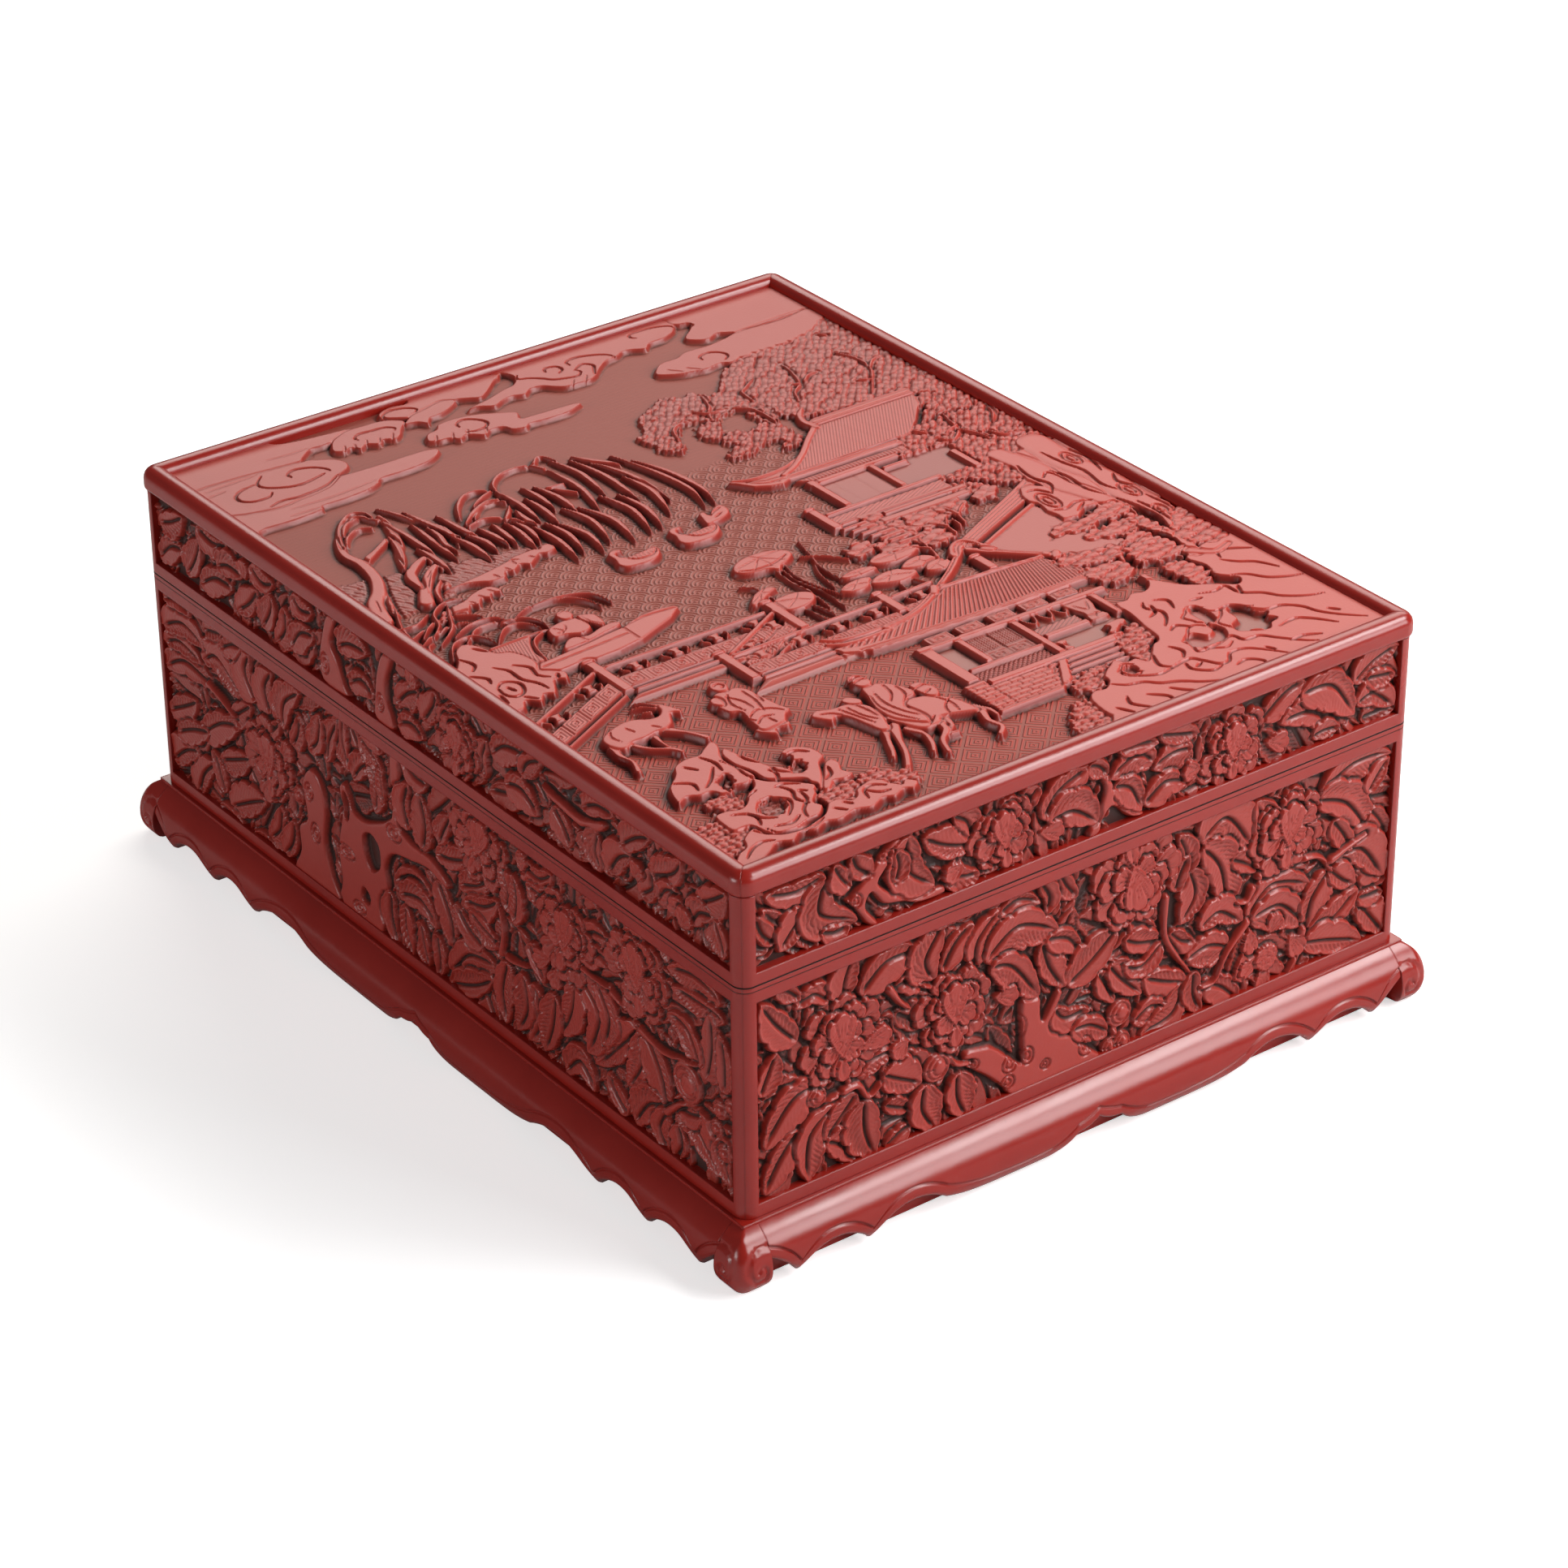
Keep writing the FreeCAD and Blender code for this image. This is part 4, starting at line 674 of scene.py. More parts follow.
def carveWillows(work):
    # rough turf behind the trunks
    turf = soft("-141,64 -128,65 -112,62 -100,60 -88,56 -76,53 -64,50 -60,46 -70,44 -90,40 -112,36 -141,34")
    work.pebbles(turf, 1.8, scenery["turf"], relief=0.9, stretch=2.6, turn=120, seed=9, rough=0.4)
    slabs(work, "-110,38.6 -100,40 -90,41.5 -80,43.7 -74,45.8 -65,46.3 -59.5,47 -58,44 -59,41.3 -63,40 -66,41"
        " -70,38.3 -73,36.5 -76,38.5 -80,36 -83,37 -85,34 -88,33.5 -92,34 -95,36 -100,37.6|-118,26 -108,28 -102,31"
        " -95,32.3 -92,29 -92.5,25.5 -96,26.5 -98,24 -101,25.5 -104,22 -107,23.5 -110,20 -114,21.5 -120,20.5"
        "|-108.5,43 -106,45.3 -103.3,43.5 -104,40.8 -107,40.5", level=3.1)
    lines(work, "-95,36 -96,33.5|-88,38 -87.5,35|-82,40 -81,37|-74,42 -77,43.5 -77,40|-70,42.5 -69,40|-106,26"
        " -105,23.5|-101,28 -100,25.5|-96,30 -95,27|-104,37.2 -96,36.8", 0.9, 0.5)
    bark = dict(round=0.8, flat=0.45, moat=1.6, moatDepth=1.6)
    strands(work, "-118,35 -113,43 -106,52 -100,56.5 -99,54", (6.5, 6, 5, 4, 2.5), **bark)
    strands(work, "-113.5,46 -111,56 -105,61.5 -99.5,64 -99,61", (2.5, 5, 4.5, 3.5, 2.5), **bark)
    strands(work, "-113,34 -110.5,40 -105,46", (2.2, 2.6, 1.4), **bark)
    strands(work, "-110,62 -105,72 -100,82 -96,93 -95,102", (2.0, 3.8, 4.5, 4, 3), **bark)
    strands(work, "-131,34 -129,43 -126,52", (3, 4, 5), **bark)
    strands(work, "-119.5,74 -111,79 -102,85", (4.5, 3, 3), **bark)
    strands(work, "-137,32 -133.5,44 -127,52 -122,62 -120,74 -121,83 -118,92 -112,101 -105,107 -100,106 -97,100",
        (6.5, 7, 6, 5.5, 5, 4.2, 3.2, 2.8, 2.4, 2.2), **bark)
    lines(work, "-131.5,35 -130,42 -127.5,48|-114,39 -110,46 -105,52|-108,50 -104,54|-135,38 -132,46", 0.8, 0.5)
    thin = dict(round=0.6, moat=1.4, moatDepth=1.8)
    strands(work, "-118,88 -115,96 -110,104 -104,109.5 -99.5,110 -97,107 -97,103|-116,90 -112,95.5 -106,98 -101.5,96"
        "|-113,97 -108,103.5 -102,105.5|-72,84 -68,91 -62,97 -56,98 -52,95 -50,91|-68,80 -62,86 -55,87 -52,84|-63,88"
        " -57,92 -51,94.5|-50.5,90 -48,98 -42,103.5 -34,105 -27,103.5 -23,107 -20,106.5 -18,101|-28,103 -25,96"
        " -25,88|-73,78 -66,84 -58,88 -53,87|-74,75 -66,77 -60,73 -55,66 -52,62|-34,84 -30,78 -27,74|-60,72 -56,76"
        " -53,80|-36,84 -27,83", (1.6, 2.4, 2.2, 1.4), **thin)
    leafWidths = (1.2, 2.6, 3.1, 2.7, 0.6)
    strands(work, "-96,97 -95,80 -95.5,61|-89,90 -90,74 -91,56|-92,108 -87,96 -82,84 -80,71|-86,100 -84,88 -82,74"
        " -84,66|-78,90 -77,78 -75,60|-98,72 -97,62 -98,50|-83,72 -81,62 -81.5,49|-78,70 -75.5,62 -76,53|-72,72"
        " -70.5,64 -70,55|-66,72 -66.5,64 -67.5,53|-62,70 -61.5,60 -64,46|-59,68 -58,60 -60,50|-50,93 -49,78 -51,62"
        "|-45,82 -44.5,70 -46.5,57|-37,88 -34.5,74 -36,60|-41,90 -40,80 -41,68|-25,96 -24,76 -29,57|-20,102 -17,86"
        " -20,66|-14,98 -11,78 -13,54|-9,92 -4,76 -3,62 -3.5,49|-55.5,61 -54.5,46 -57,30|-50.5,61 -49,48 -52,34"
        "|-47,57 -43.5,44 -46,30|-39,67 -36,52 -40,35|-34,64 -29.5,48 -32.5,30|-22.5,67 -19.5,50 -24,32|-16.5,64"
        " -15,48 -18.5,33|-6.5,75 -5,58 -10,40|0,92 5,72 7,52 3.5,37|4,84 9,68 10.5,50 8,37|-101,86 -103,76 -108,64"
        "|-86,84 -86,76 -88,68 -87,62|-53,76 -54,68 -53,62|-12,100 -7,92 -1,84", leafWidths, groove=0.35, **thin)


def carveShore(work):
    # reeds, birds and lotus
    thin = dict(round=0.6, moat=1.2, moatDepth=1.4)
    strands(work, "-137,10 -136,22 -132,32 -129,38|-139,14 -128,19 -116,21 -110,21|-138,8 -130,13 -119,15.5"
        " -112,12.5|-133,14 -126,20 -119,22 -114,20 -109,16 -108.5,12|-131,6 -122,13 -117,22 -113,30|-124,8 -115,12"
        " -107,12 -103,8|-130,12 -124,18 -121,26 -114,31 -106,31|-123,2 -115,8 -107,8 -104,5|-138,-2 -136,6 -132,9"
        "|-134,-6 -128,3 -120,5 -116,0 -115,-6|-128,0 -124,-4 -124,-8|-114,-4 -108,2 -102,3 -98,-1 -97,-6|-106,7"
        " -99,6 -95,1 -94,-5|-100,7 -92,10.5 -82,10.5 -76,7 -72,1 -71,-4|-90,10.5 -80,10.5 -72,8 -68,4 -66,-3"
        "|-138,24 -130,23 -122,28", (1.0, 1.9, 1.8, 0.8), 3.3, **thin)
    for shift, lift in ((0, 0), (27.5, 1.5)):
        body = [(x + shift, y + lift) for x, y in spots(
            "-49.5,17 -48.3,21 -48.3,25.3 -45.5,27.8 -41.8,27 -41.5,25.3 -44.3,24.5 -44.2,21.3 -38,21 -31,22"
            " -29.8,18.5 -33,14 -38,11.9 -44,12.2 -48,13.5")]
        work.fill(smoothLine(body, closed=True, steps=4), 3.4, 1.4, 0.8, 1.6, 1.5)
        wing = [(x + shift, y + lift) for x, y in spots("-44,20 -37,20.5 -31,20.7 -32.5,17.7 -36,16 -41,16.5")]
        work.cut(smoothLine(wing + wing[:1], steps=5), 0.8, 0.7)
        for k in range(7):
            work.cut([(-42 + 1.6 * k + shift, 19.5 + lift), (-42.8 + 1.7 * k + shift, 17 + lift)], 0.5, 0.35)
    slabs(work, "-6,23 -5,28 -3.5,32.3 -0.5,32.5 -0.3,29.5 2,32 7,34.3 8.5,30 6.5,26 2,23.8 -2,23", 3.4, 1.4, 0.8)
    lines(work, "-1,28 2,30 6,31.5|0,26 4,28", 0.8, 0.8)
    # lotus leaves on thin stems
    strands(work, "-7,-18 -8,-30 -7,-40 -8.5,-53|-4.5,-19 -5.5,-30 -3.5,-42 -4,-56|-1.5,-17 -4,-28 -2,-40 1,-48"
        "|13,-6 9,-20 4,-30 2,-42|11,-14 7,-28 8,-40|-25,-22 -21,-26 -20,-36|6,-16 13,-21 19,-28|22,-52 20,-62"
        "|-16,-48 -15,-58 -13,-61|-12,-48 -10,-58|26,-52 30,-60", (1.0, 1.3, 1.0), 3.0, **thin)
    leaves = ("-20.5,-12 -17,-7.5 -10,-5 -2,-5.5 4,-8.5 5.5,-13 1,-17 -3,-18.5 -6,-21 -9,-18.5 -15,-17.5 -19,-15.5"
             "|-30.5,-36 -25,-30 -18,-28 -15,-31 -19,-33 -25,-36.5 -28,-38|-24,-39 -18,-36.8 -11,-37.5 -7,-41.5"
             " -10,-46.5 -17,-48.7 -23,-47|0.5,-46.5 5,-43.3 12,-42.5 16,-44.5 14,-48.5 8,-51 3,-50|12.5,-49 17,-45"
             " 25,-44.2 31,-47.5 31.5,-52 24,-54.3 17,-52.3|21.5,-36 25,-32.7 32,-31.5 42,-33 45,-36 38,-40.3"
             " 30,-41 24,-39.3|28,-46 33,-42 40,-41.5 44,-46 40,-50 33,-49.5|34,-53 38,-48 45,-48 46,-54 40,-56"
             "|7,-38 14,-36 21,-37.5 22,-41 14,-42 8,-41")
    hearts = "-7,-9 -22,-31 -15,-42 8,-46 22,-48 33,-36 37,-45 40,-51 14,-39"
    for outline, (heartX, heartY) in zip(rowsOf(leaves), spots(hearts)):
        slabs(work, outline, 3.4, 1.5, 0.9)
        for x, y in spots(outline)[::2]:
            work.cut([(heartX, heartY), (heartX + 0.86 * (x - heartX), heartY + 0.86 * (y - heartY))], 0.6, 0.4, True)
    lines(work, "-19,-13 -14,-15.5 -8,-16 -3,-15 3,-12.5", 1.0, 0.7)


def carveBoat(work):
    slabs(work, "-122,-8 -118,-6.5 -104,-7 -106,-12 -108.5,-18 -109,-25 -114,-29 -122,-30", 3.0, 0.8, 0.4)
    work.comb(soft("-122,-9 -118,-8 -107,-8.5 -108.5,-14 -110.5,-24 -116,-28 -122,-28"), 1.1, 0.4, 72)
    strands(work, "-99,-8 -104,-11 -107,-17 -108.5,-25", (1.5, 1.8, 1.6), 3.4)
    strands(work, "-120,-7.5 -104,-7 -94,-7.5", (1.2, 1.5), 3.4)
    blocks(work, "-119,-31 -115,-26 -100,-24.5 -85,-22.5 -75,-21.5 -66,-18.3 -58,-17.7 -51,-19.5 -50.5,-22 -57,-27"
        " -66,-30.5 -74,-33.7 -85,-35.7 -95,-36 -99,-34.7 -110,-35.5", 3.5, 1.6, 0.9)
    lines(work, "-113,-29.5 -95,-28.3 -76,-27|-116,-26.5 -100,-25 -85,-23 -75,-22 -64,-20.5 -52,-21.5|-75,-22"
        " -75,-32", 0.8, 0.55, False)
    # the boatman, seated
    slabs(work, "-100.5,-24 -97,-19 -93,-17.5 -88,-19.5 -82,-17.5 -76,-16.7 -73.5,-18.5 -75,-21 -82,-22.3 -91,-24"
        "|-98,-14.5 -97.5,-9 -94,-6.5 -88,-5.5 -84,-6 -82.5,-10 -83,-15.5 -88,-17.8 -93,-15.5|-83.5,-5.5 -79,-6.5"
        " -76.7,-9 -77.3,-15.5 -80,-16.5 -82.5,-12|-89.3,-3 -88.3,0 -85.5,1 -82.8,-0.7 -82.7,-4 -85,-6.3 -88,-5.8",
        3.6, 1.1, 0.6)
    lines(work, "-91,-19 -90,-23|-96,-13 -92,-12 -90,-9|-82,-7 -81.5,-12 -79,-16|-88,-17 -84,-19|-88.5,-1 -85,-0.3"
        " -83.3,-2.3|-95,-8.5 -93,-12 -95,-14.5", 0.6, 0.5)


def post(work, x, low, high, width):
    # a square post with a rounded head
    half, neck, head = width / 2, high - 1.5, high - 2
    blocks(work, corners(x - half, low, x + half, low, x + half, neck, x - half, neck), 3.6, 0.8, 0.3)
    wide = width * 0.6
    slabs(work, corners(x - wide, head, x - half, high - 0.3, x, high + 0.5, x + half, high - 0.3, x + wide, head),
          3.7, 0.8, 0.4)
    work.cut([(x - wide, high - 2.2), (x + wide, high - 2.2)], 0.8, 0.6)


def railing(work, start, end, drop, tall, base, struts):
    # a top rail on vase-shaped struts over a fret panel and a base course, between two points of the rail
    (ax, ay), (bx, by) = start, end
    quad = lambda a, b: corners(ax, ay - a, bx, by - a, bx, by - b, ax, ay - b)
    foot = drop + tall
    blocks(work, quad(drop, foot), 3.0, 0.6, 0.3)
    work.fret((ax, ay - foot), (bx, by - foot), tall)
    blocks(work, quad(foot + 1.2, foot + 3.4), 3.2, 0.6, 0.3)
    if base:
        blocks(work, quad(foot + 3.6, foot + 3.6 + base), 3.6, base, 1.9)
    for k in range(struts):
        share = (k + 0.6) / struts
        x, y = ax + (bx - ax) * share, ay + (by - ay) * share
        slabs(work, corners(x - 2.6, y - 2, x + 2.6, y - 2, x + 1.6, y - 4.5, x + 2.2, y - 7, x - 2.2, y - 7,
                            x - 1.6, y - 4.5), 3.1, 0.9, 0.5)
        for side in (-1, 1):
            strands(work, corners(x + side * 3.4, y - 6.5, x + side * 5.4, y - 4, x + side * 4.4, y - 2.4),
                    (1.0, 1.6, 1.0), 2.8)
    strands(work, corners(ax, ay, bx, by), (2.4, 2.4), 3.5, flat=0.3, round=0.7)


def carveBridge(work):
    railing(work, (-97, -42), (-30, -43), 8.0, 8.5, 4.5, 4)
    railing(work, (-141, -62.5), (-101, -42.5), 8.2, 9.0, 0, 2)
    railing(work, (-57, -60.5), (-26, -44), 7.5, 7.5, 0, 2)
    railing(work, (-58, -62), (8, -61.3), 8.5, 7.5, 5.0, 4)
    railing(work, (10, -61), (30, -60.3), 7.5, 6.5, 0, 1)
    blocks(work, "-58,-81 -27,-81 -27,-86.3 -67,-87.3", 3.5, 5, 1.6)
    blocks(work, "-98,-62.8 -62,-62.6 -62,-66.8 -104,-66.8", 3.5, 4, 1.6)
    for x, low, high in ((-99, -60.5, -34), (-60, -80, -56), (-25, -61, -36), (9.5, -72, -54.5), (54.5, -66, -53)):
        post(work, x, low, high, 4.6)


def carvePavilions(work):
    flat = 3.4
    # the one behind: wall, posts, balcony, then the roof
    blocks(work, "46,5 68.5,5 68.5,26 46,26", 1.7, 0.4, 0.1)
    blocks(work, "71,4 104,4 104,24 71,24", 1.3, 0.4, 0.1)
    lines(work, "52,6 52,25|61,6 61,25", 0.5, 0.2, False)
    blocks(work, "40,33 90,33 90,28.5 46,28.5 42,31", 2.8)
    work.comb(spots("42,32.5 88,32.5 88,29 46,29"), 1.6, 0.5, 90)
    blocks(work, "42,25 84,25.5 84,28.7 42,28.5|42.3,3 46.2,3 46.2,29 42.3,29|68.3,4 71.7,4 71.7,26 68.3,26|100,1"
        " 103.6,1 103.6,18 100,18|72,20 84,20 84,22.5 72,22.5|32,1.8 86,2.5 86,5.3 32,4.6", flat)
    blocks(work, "32,1.5 84,2 84,-6 32,-6", 2.6)
    work.comb(spots("33,1 83,1.5 83,-3.5 33,-3.5"), 1.3, 0.4, 25)
    blocks(work, "50,-6 88,-6 88,-9 50,-9|46,-10 86,-10 86,-14 46,-14", 2.9)
    for k in range(8):
        x = 34 + 1.6 * k
        y = -4.5 - 3.4 * k
        blocks(work, corners(x - 5.5, y, x + 6, y, x + 6, y - 2.4, x - 5.5, y - 2.4), 3.2, 0.9, 0.5)
    post(work, 30, -8, 11.5, 4.4)
    blocks(work, "20,45.5 26,42.5 34,41.8 44,42.8 54,47.5 64,56.5 74,65.5 122,65.5 118,57 108,46 99,38.5 60,37 38,37"
        " 30,38.5 25,41", 3.0, 0.8, 0.3)
    work.comb(spots("44,38.5 98,39 108,47 121,65 76,65 60,52 52,44"), 1.15, 0.35, 56)
    blocks(work, "19.5,46 25.5,37 31,33.7 36,32.3 40,34 92,33.5 92,37.5 60,37.8 40,38.5 32,39 26,42 23,46.5",
        3.4, 0.9, 0.5)
    lines(work, "33,36.7 45,36 90,35.8|23,44.5 29,38 36,35.5", 0.7, 0.5, False)
    strands(work, "22,46 28,43.3 36,42.8 45,44 53,47.5 57,50", (1.8, 2.6, 2.2, 1.5), 3.6)
    strands(work, "40,38.5 48,42.5 57,49.5 66,58 76,66.5", (2.6, 3.0, 3.0), 3.65, flat=0.3)
    blocks(work, "75,65.3 122,65.3 122,71 78,71 74,70", 3.5, 1.0, 0.5)
    lines(work, "76,67 121,67|76,69.6 121,69.6", 0.7, 0.5, False)
    strands(work, "74.5,64 73.5,70 75.5,76 80,80.5", (3.2, 3.6, 3.0, 1.6), 3.65)
    # a flat garden wall with a tiled top, running back from the ridge
    blocks(work, "60,-49 97,-33 99,-40 98,-50 105,-56 104,-72 110,-80 84,-82 76,-70", 2.5, 0.5, 0.2)
    blocks(work, "44,-50 56,-42 98,-21.5 112,-14.5 112,-20 98,-31 60,-47.5 54,-46.5", 3.1, 0.8, 0.4)
    work.comb(spots("52,-46 58,-42.5 98,-22.5 108,-18 98,-29 60,-46"), 1.5, 0.5, 24.5)
    strands(work, "61,-50.5 79,-42.5 97,-34.8", (2.2, 2.2), 3.4)
    # the one in front
    blocks(work, "-6,-97 72,-97 72,-130 -6,-130", 0.6, 0.4, 0.1)
    blocks(work, "12,-100 32,-100 32,-118 12,-118|36,-108 56,-108 56,-114 36,-114|0,-120.5 32,-120.5 32,-128 0,-128",
        1.7, 0.4, 0.1)
    for angle in (0, 90):
        work.comb(spots("13,-101 31,-101 31,-111 13,-111"), 1.15, 0.5, angle)
    work.cut([(22, -100), (22, -118)], 1.0, 0.7)
    work.fret((13, -117.3), (31, -117.3), 5.0, 2)
    for angle in (45, -45):
        work.comb(spots("0,-121 32,-121 32,-127.5 0,-127.5"), 1.5, 0.45, angle)
    work.comb(spots("36,-108 56,-108 56,-114 36,-114"), 1.4, 0.4, 30)
    for x in (40, 47, 53.5):
        strands(work, corners(x - 2.6, -99, x - 2.3, -103, x, -106.3, x + 2.3, -103, x + 2.6, -99), (1.7, 1.7), 2.6)
    slabs(work, "56,-100 66,-100 66,-106 64,-111 65,-116.5 56.5,-116.5 57.5,-111 56,-106", 2.6)
    lines(work, "56.5,-113 65,-113|58,-104 61,-109 64,-104|60,-115 62,-112", 0.8, 0.5)
    blocks(work, "0,-117.8 33,-118.3 33,-120.8 0,-120.3|36,-114 56,-114 56,-117.3 36,-117.3", 3.1)
    slabs(work, "35,-121 40,-121.3 40,-123.5 38,-124.5 40,-128 35,-128 36.5,-124.5|57,-121.5 65,-121 66,-124"
        " 62,-125.5 58,-128.5 55,-127 58,-124", 3.1, 0.9, 0.5)
    for x, high in ((-3.2, -96), (10.4, -98.5), (33.8, -99.5), (68.3, -100), (92, -101)):
        wide = 3.0 if x < 0 else 1.8
        low = -126.5 if x < 0 else -118 if x == 10.4 else -129 if x < 60 else -118
        blocks(work, corners(x - wide, high, x + wide, high, x + wide, low, x - wide, low), 3.4)
    blocks(work, "-6,-96.3 76,-98.5 76,-102 -6,-99.5", 3.3)
    for k, x in enumerate((1.5, 15, 29, 43, 56.5)):
        blocks(work, corners(x, -91, x + 11, -91.3, x + 11, -97.2, x, -96.9), 2.6)
        work.fret((x, -96.6), (x + 11, -96.8), 5.0, 1)
    blocks(work, "-9.5,-127 0,-127 0,-147 -9.5,-147", 3.3)
    blocks(work, "-1,-131 26,-131 26,-147 -1,-147", 3.1)
    for k in range(7):
        work.cut([(-9.5, -129.5 - 2.6 * k), (25, -129.7 - 2.6 * k)], 0.6, 0.5)
        for j in range(8):
            x = -7 + 5.2 * j + 2.6 * (k % 2)
            work.cut([(x, -129.6 - 2.6 * k), (x, -132.2 - 2.6 * k)], 0.55, 0.45)
    for k in range(4):
        y = -132 - 3.3 * k
        blocks(work, corners(24, y, 56, y - 0.3, 56, y - 2.4, 22, y - 2.3), 3.3 - 0.15 * k, 1.2, 0.8)
    blocks(work, "0,-127.8 58,-128.6 62,-130 58,-132.3 0,-131.6|28,-132 32,-132.5 23,-147 18,-147|-10,-146.5"
        " 20,-146.5 18,-149 -10,-149|-9.5,-139.5 -1,-139.5 -1,-141.5 -9.5,-141.5", 3.5)
    # its roof
    blocks(work, "-27.5,-79 -15,-80 -2,-79 12,-76 24,-70.5 30,-66.5 73,-69.5 77,-77 82,-90.5 40,-90.5 0,-88 -20,-87"
        " -26,-83.5", 3.2, 0.8, 0.4)
    tiles = spots("-26,-80 -12,-80.5 0,-79.5 12,-77 24,-71.5 31,-67.5 73,-70 80,-88.5 40,-88 0,-85.5 -18,-83")
    work.comb(tiles, 1.75, 0.75, apex=(86, -1))
    blocks(work, "-20,-85.5 -5,-86.6 30,-88.6 82,-89.8 82,-92.3 30,-91 -5,-89.3 -17,-88.2", 3.4)
    lines(work, "-16,-87 -5,-87.7 30,-89.7 82,-91", 0.6, 0.5, False)
    strands(work, "-26.5,-71.5 -22,-75 -14,-76.5 -3,-77|-27,-75.5 -22,-78.5 -12,-79.5 -2,-79", (2.0, 2.8, 2.4), 3.6)
    strands(work, "-3,-77.5 8,-75.8 18,-72 27,-66.8 40,-58.5 50,-50.5 55,-45.5|56,-49 65,-58.5 74,-67 80,-72.5",
        (3.6, 3.4, 3.6), 3.65, flat=0.2)
    lines(work, "-3,-77 8,-75.3 18,-71.5 27,-66.3 40,-58 50,-50|-2,-78.6 9,-76.8 19,-73 28,-67.8 41,-59.5 51,-51.5"
        "|57,-49.5 66,-59 75,-67.5", 0.6, 0.5, False)
    strands(work, "30,-65.5 52,-66.8 73,-68.8", (2.4, 2.4), 3.5, flat=0.3)
    strands(work, "49,-49.5 52.5,-44.5 57,-42.3 60.5,-44 62,-49.5 64,-53.5|62.5,-54 60.5,-52", (3.4, 3.4, 3.0), 3.7)
    lines(work, "50,-49 53.5,-44.5 57.5,-43 60,-45.5 61.5,-50", 0.7, 0.6)
    strands(work, "26,-67.5 28.5,-64", (3.6, 3.6), 3.7)
    strands(work, "77,-72.5 79.5,-69.5", (3.6, 3.6), 3.7)


def carveShrubs(work):
    patches(work, "37,-9 46,-5 52,-10 50,-17 42,-18 38,-14|40,-18 50,-15 56,-19 52,-27 42,-26|31,-27 36,-24 44,-27"
        " 44,-33 35,-34 31,-31|52,-17 58,-12 66,-14 70,-20 64,-27 55,-26|46,-30 54,-27 60,-31 58,-38 48,-38|66,-14"
        " 74,-10 80,-15 78,-22 70,-24|20,-24 26,-20 32,-22 30,-28 22,-30|84,-16 90,-12 96,-15 92,-21 86,-21",
        4.2, 3.2, range(21, 29), relief=1.3, stretch=1.2, turn=20, rough=0.5)
    strands(work, "44,-47 46,-40 47,-33 50,-29|46,-40 42,-35|61,-36 62,-30 66,-24|62,-30 58,-24|69,-31 71,-25 78,-19"
        "|71,-25 70,-18|66,-32 67,-26", (2.2, 1.6, 0.9), 3.6, round=0.5)


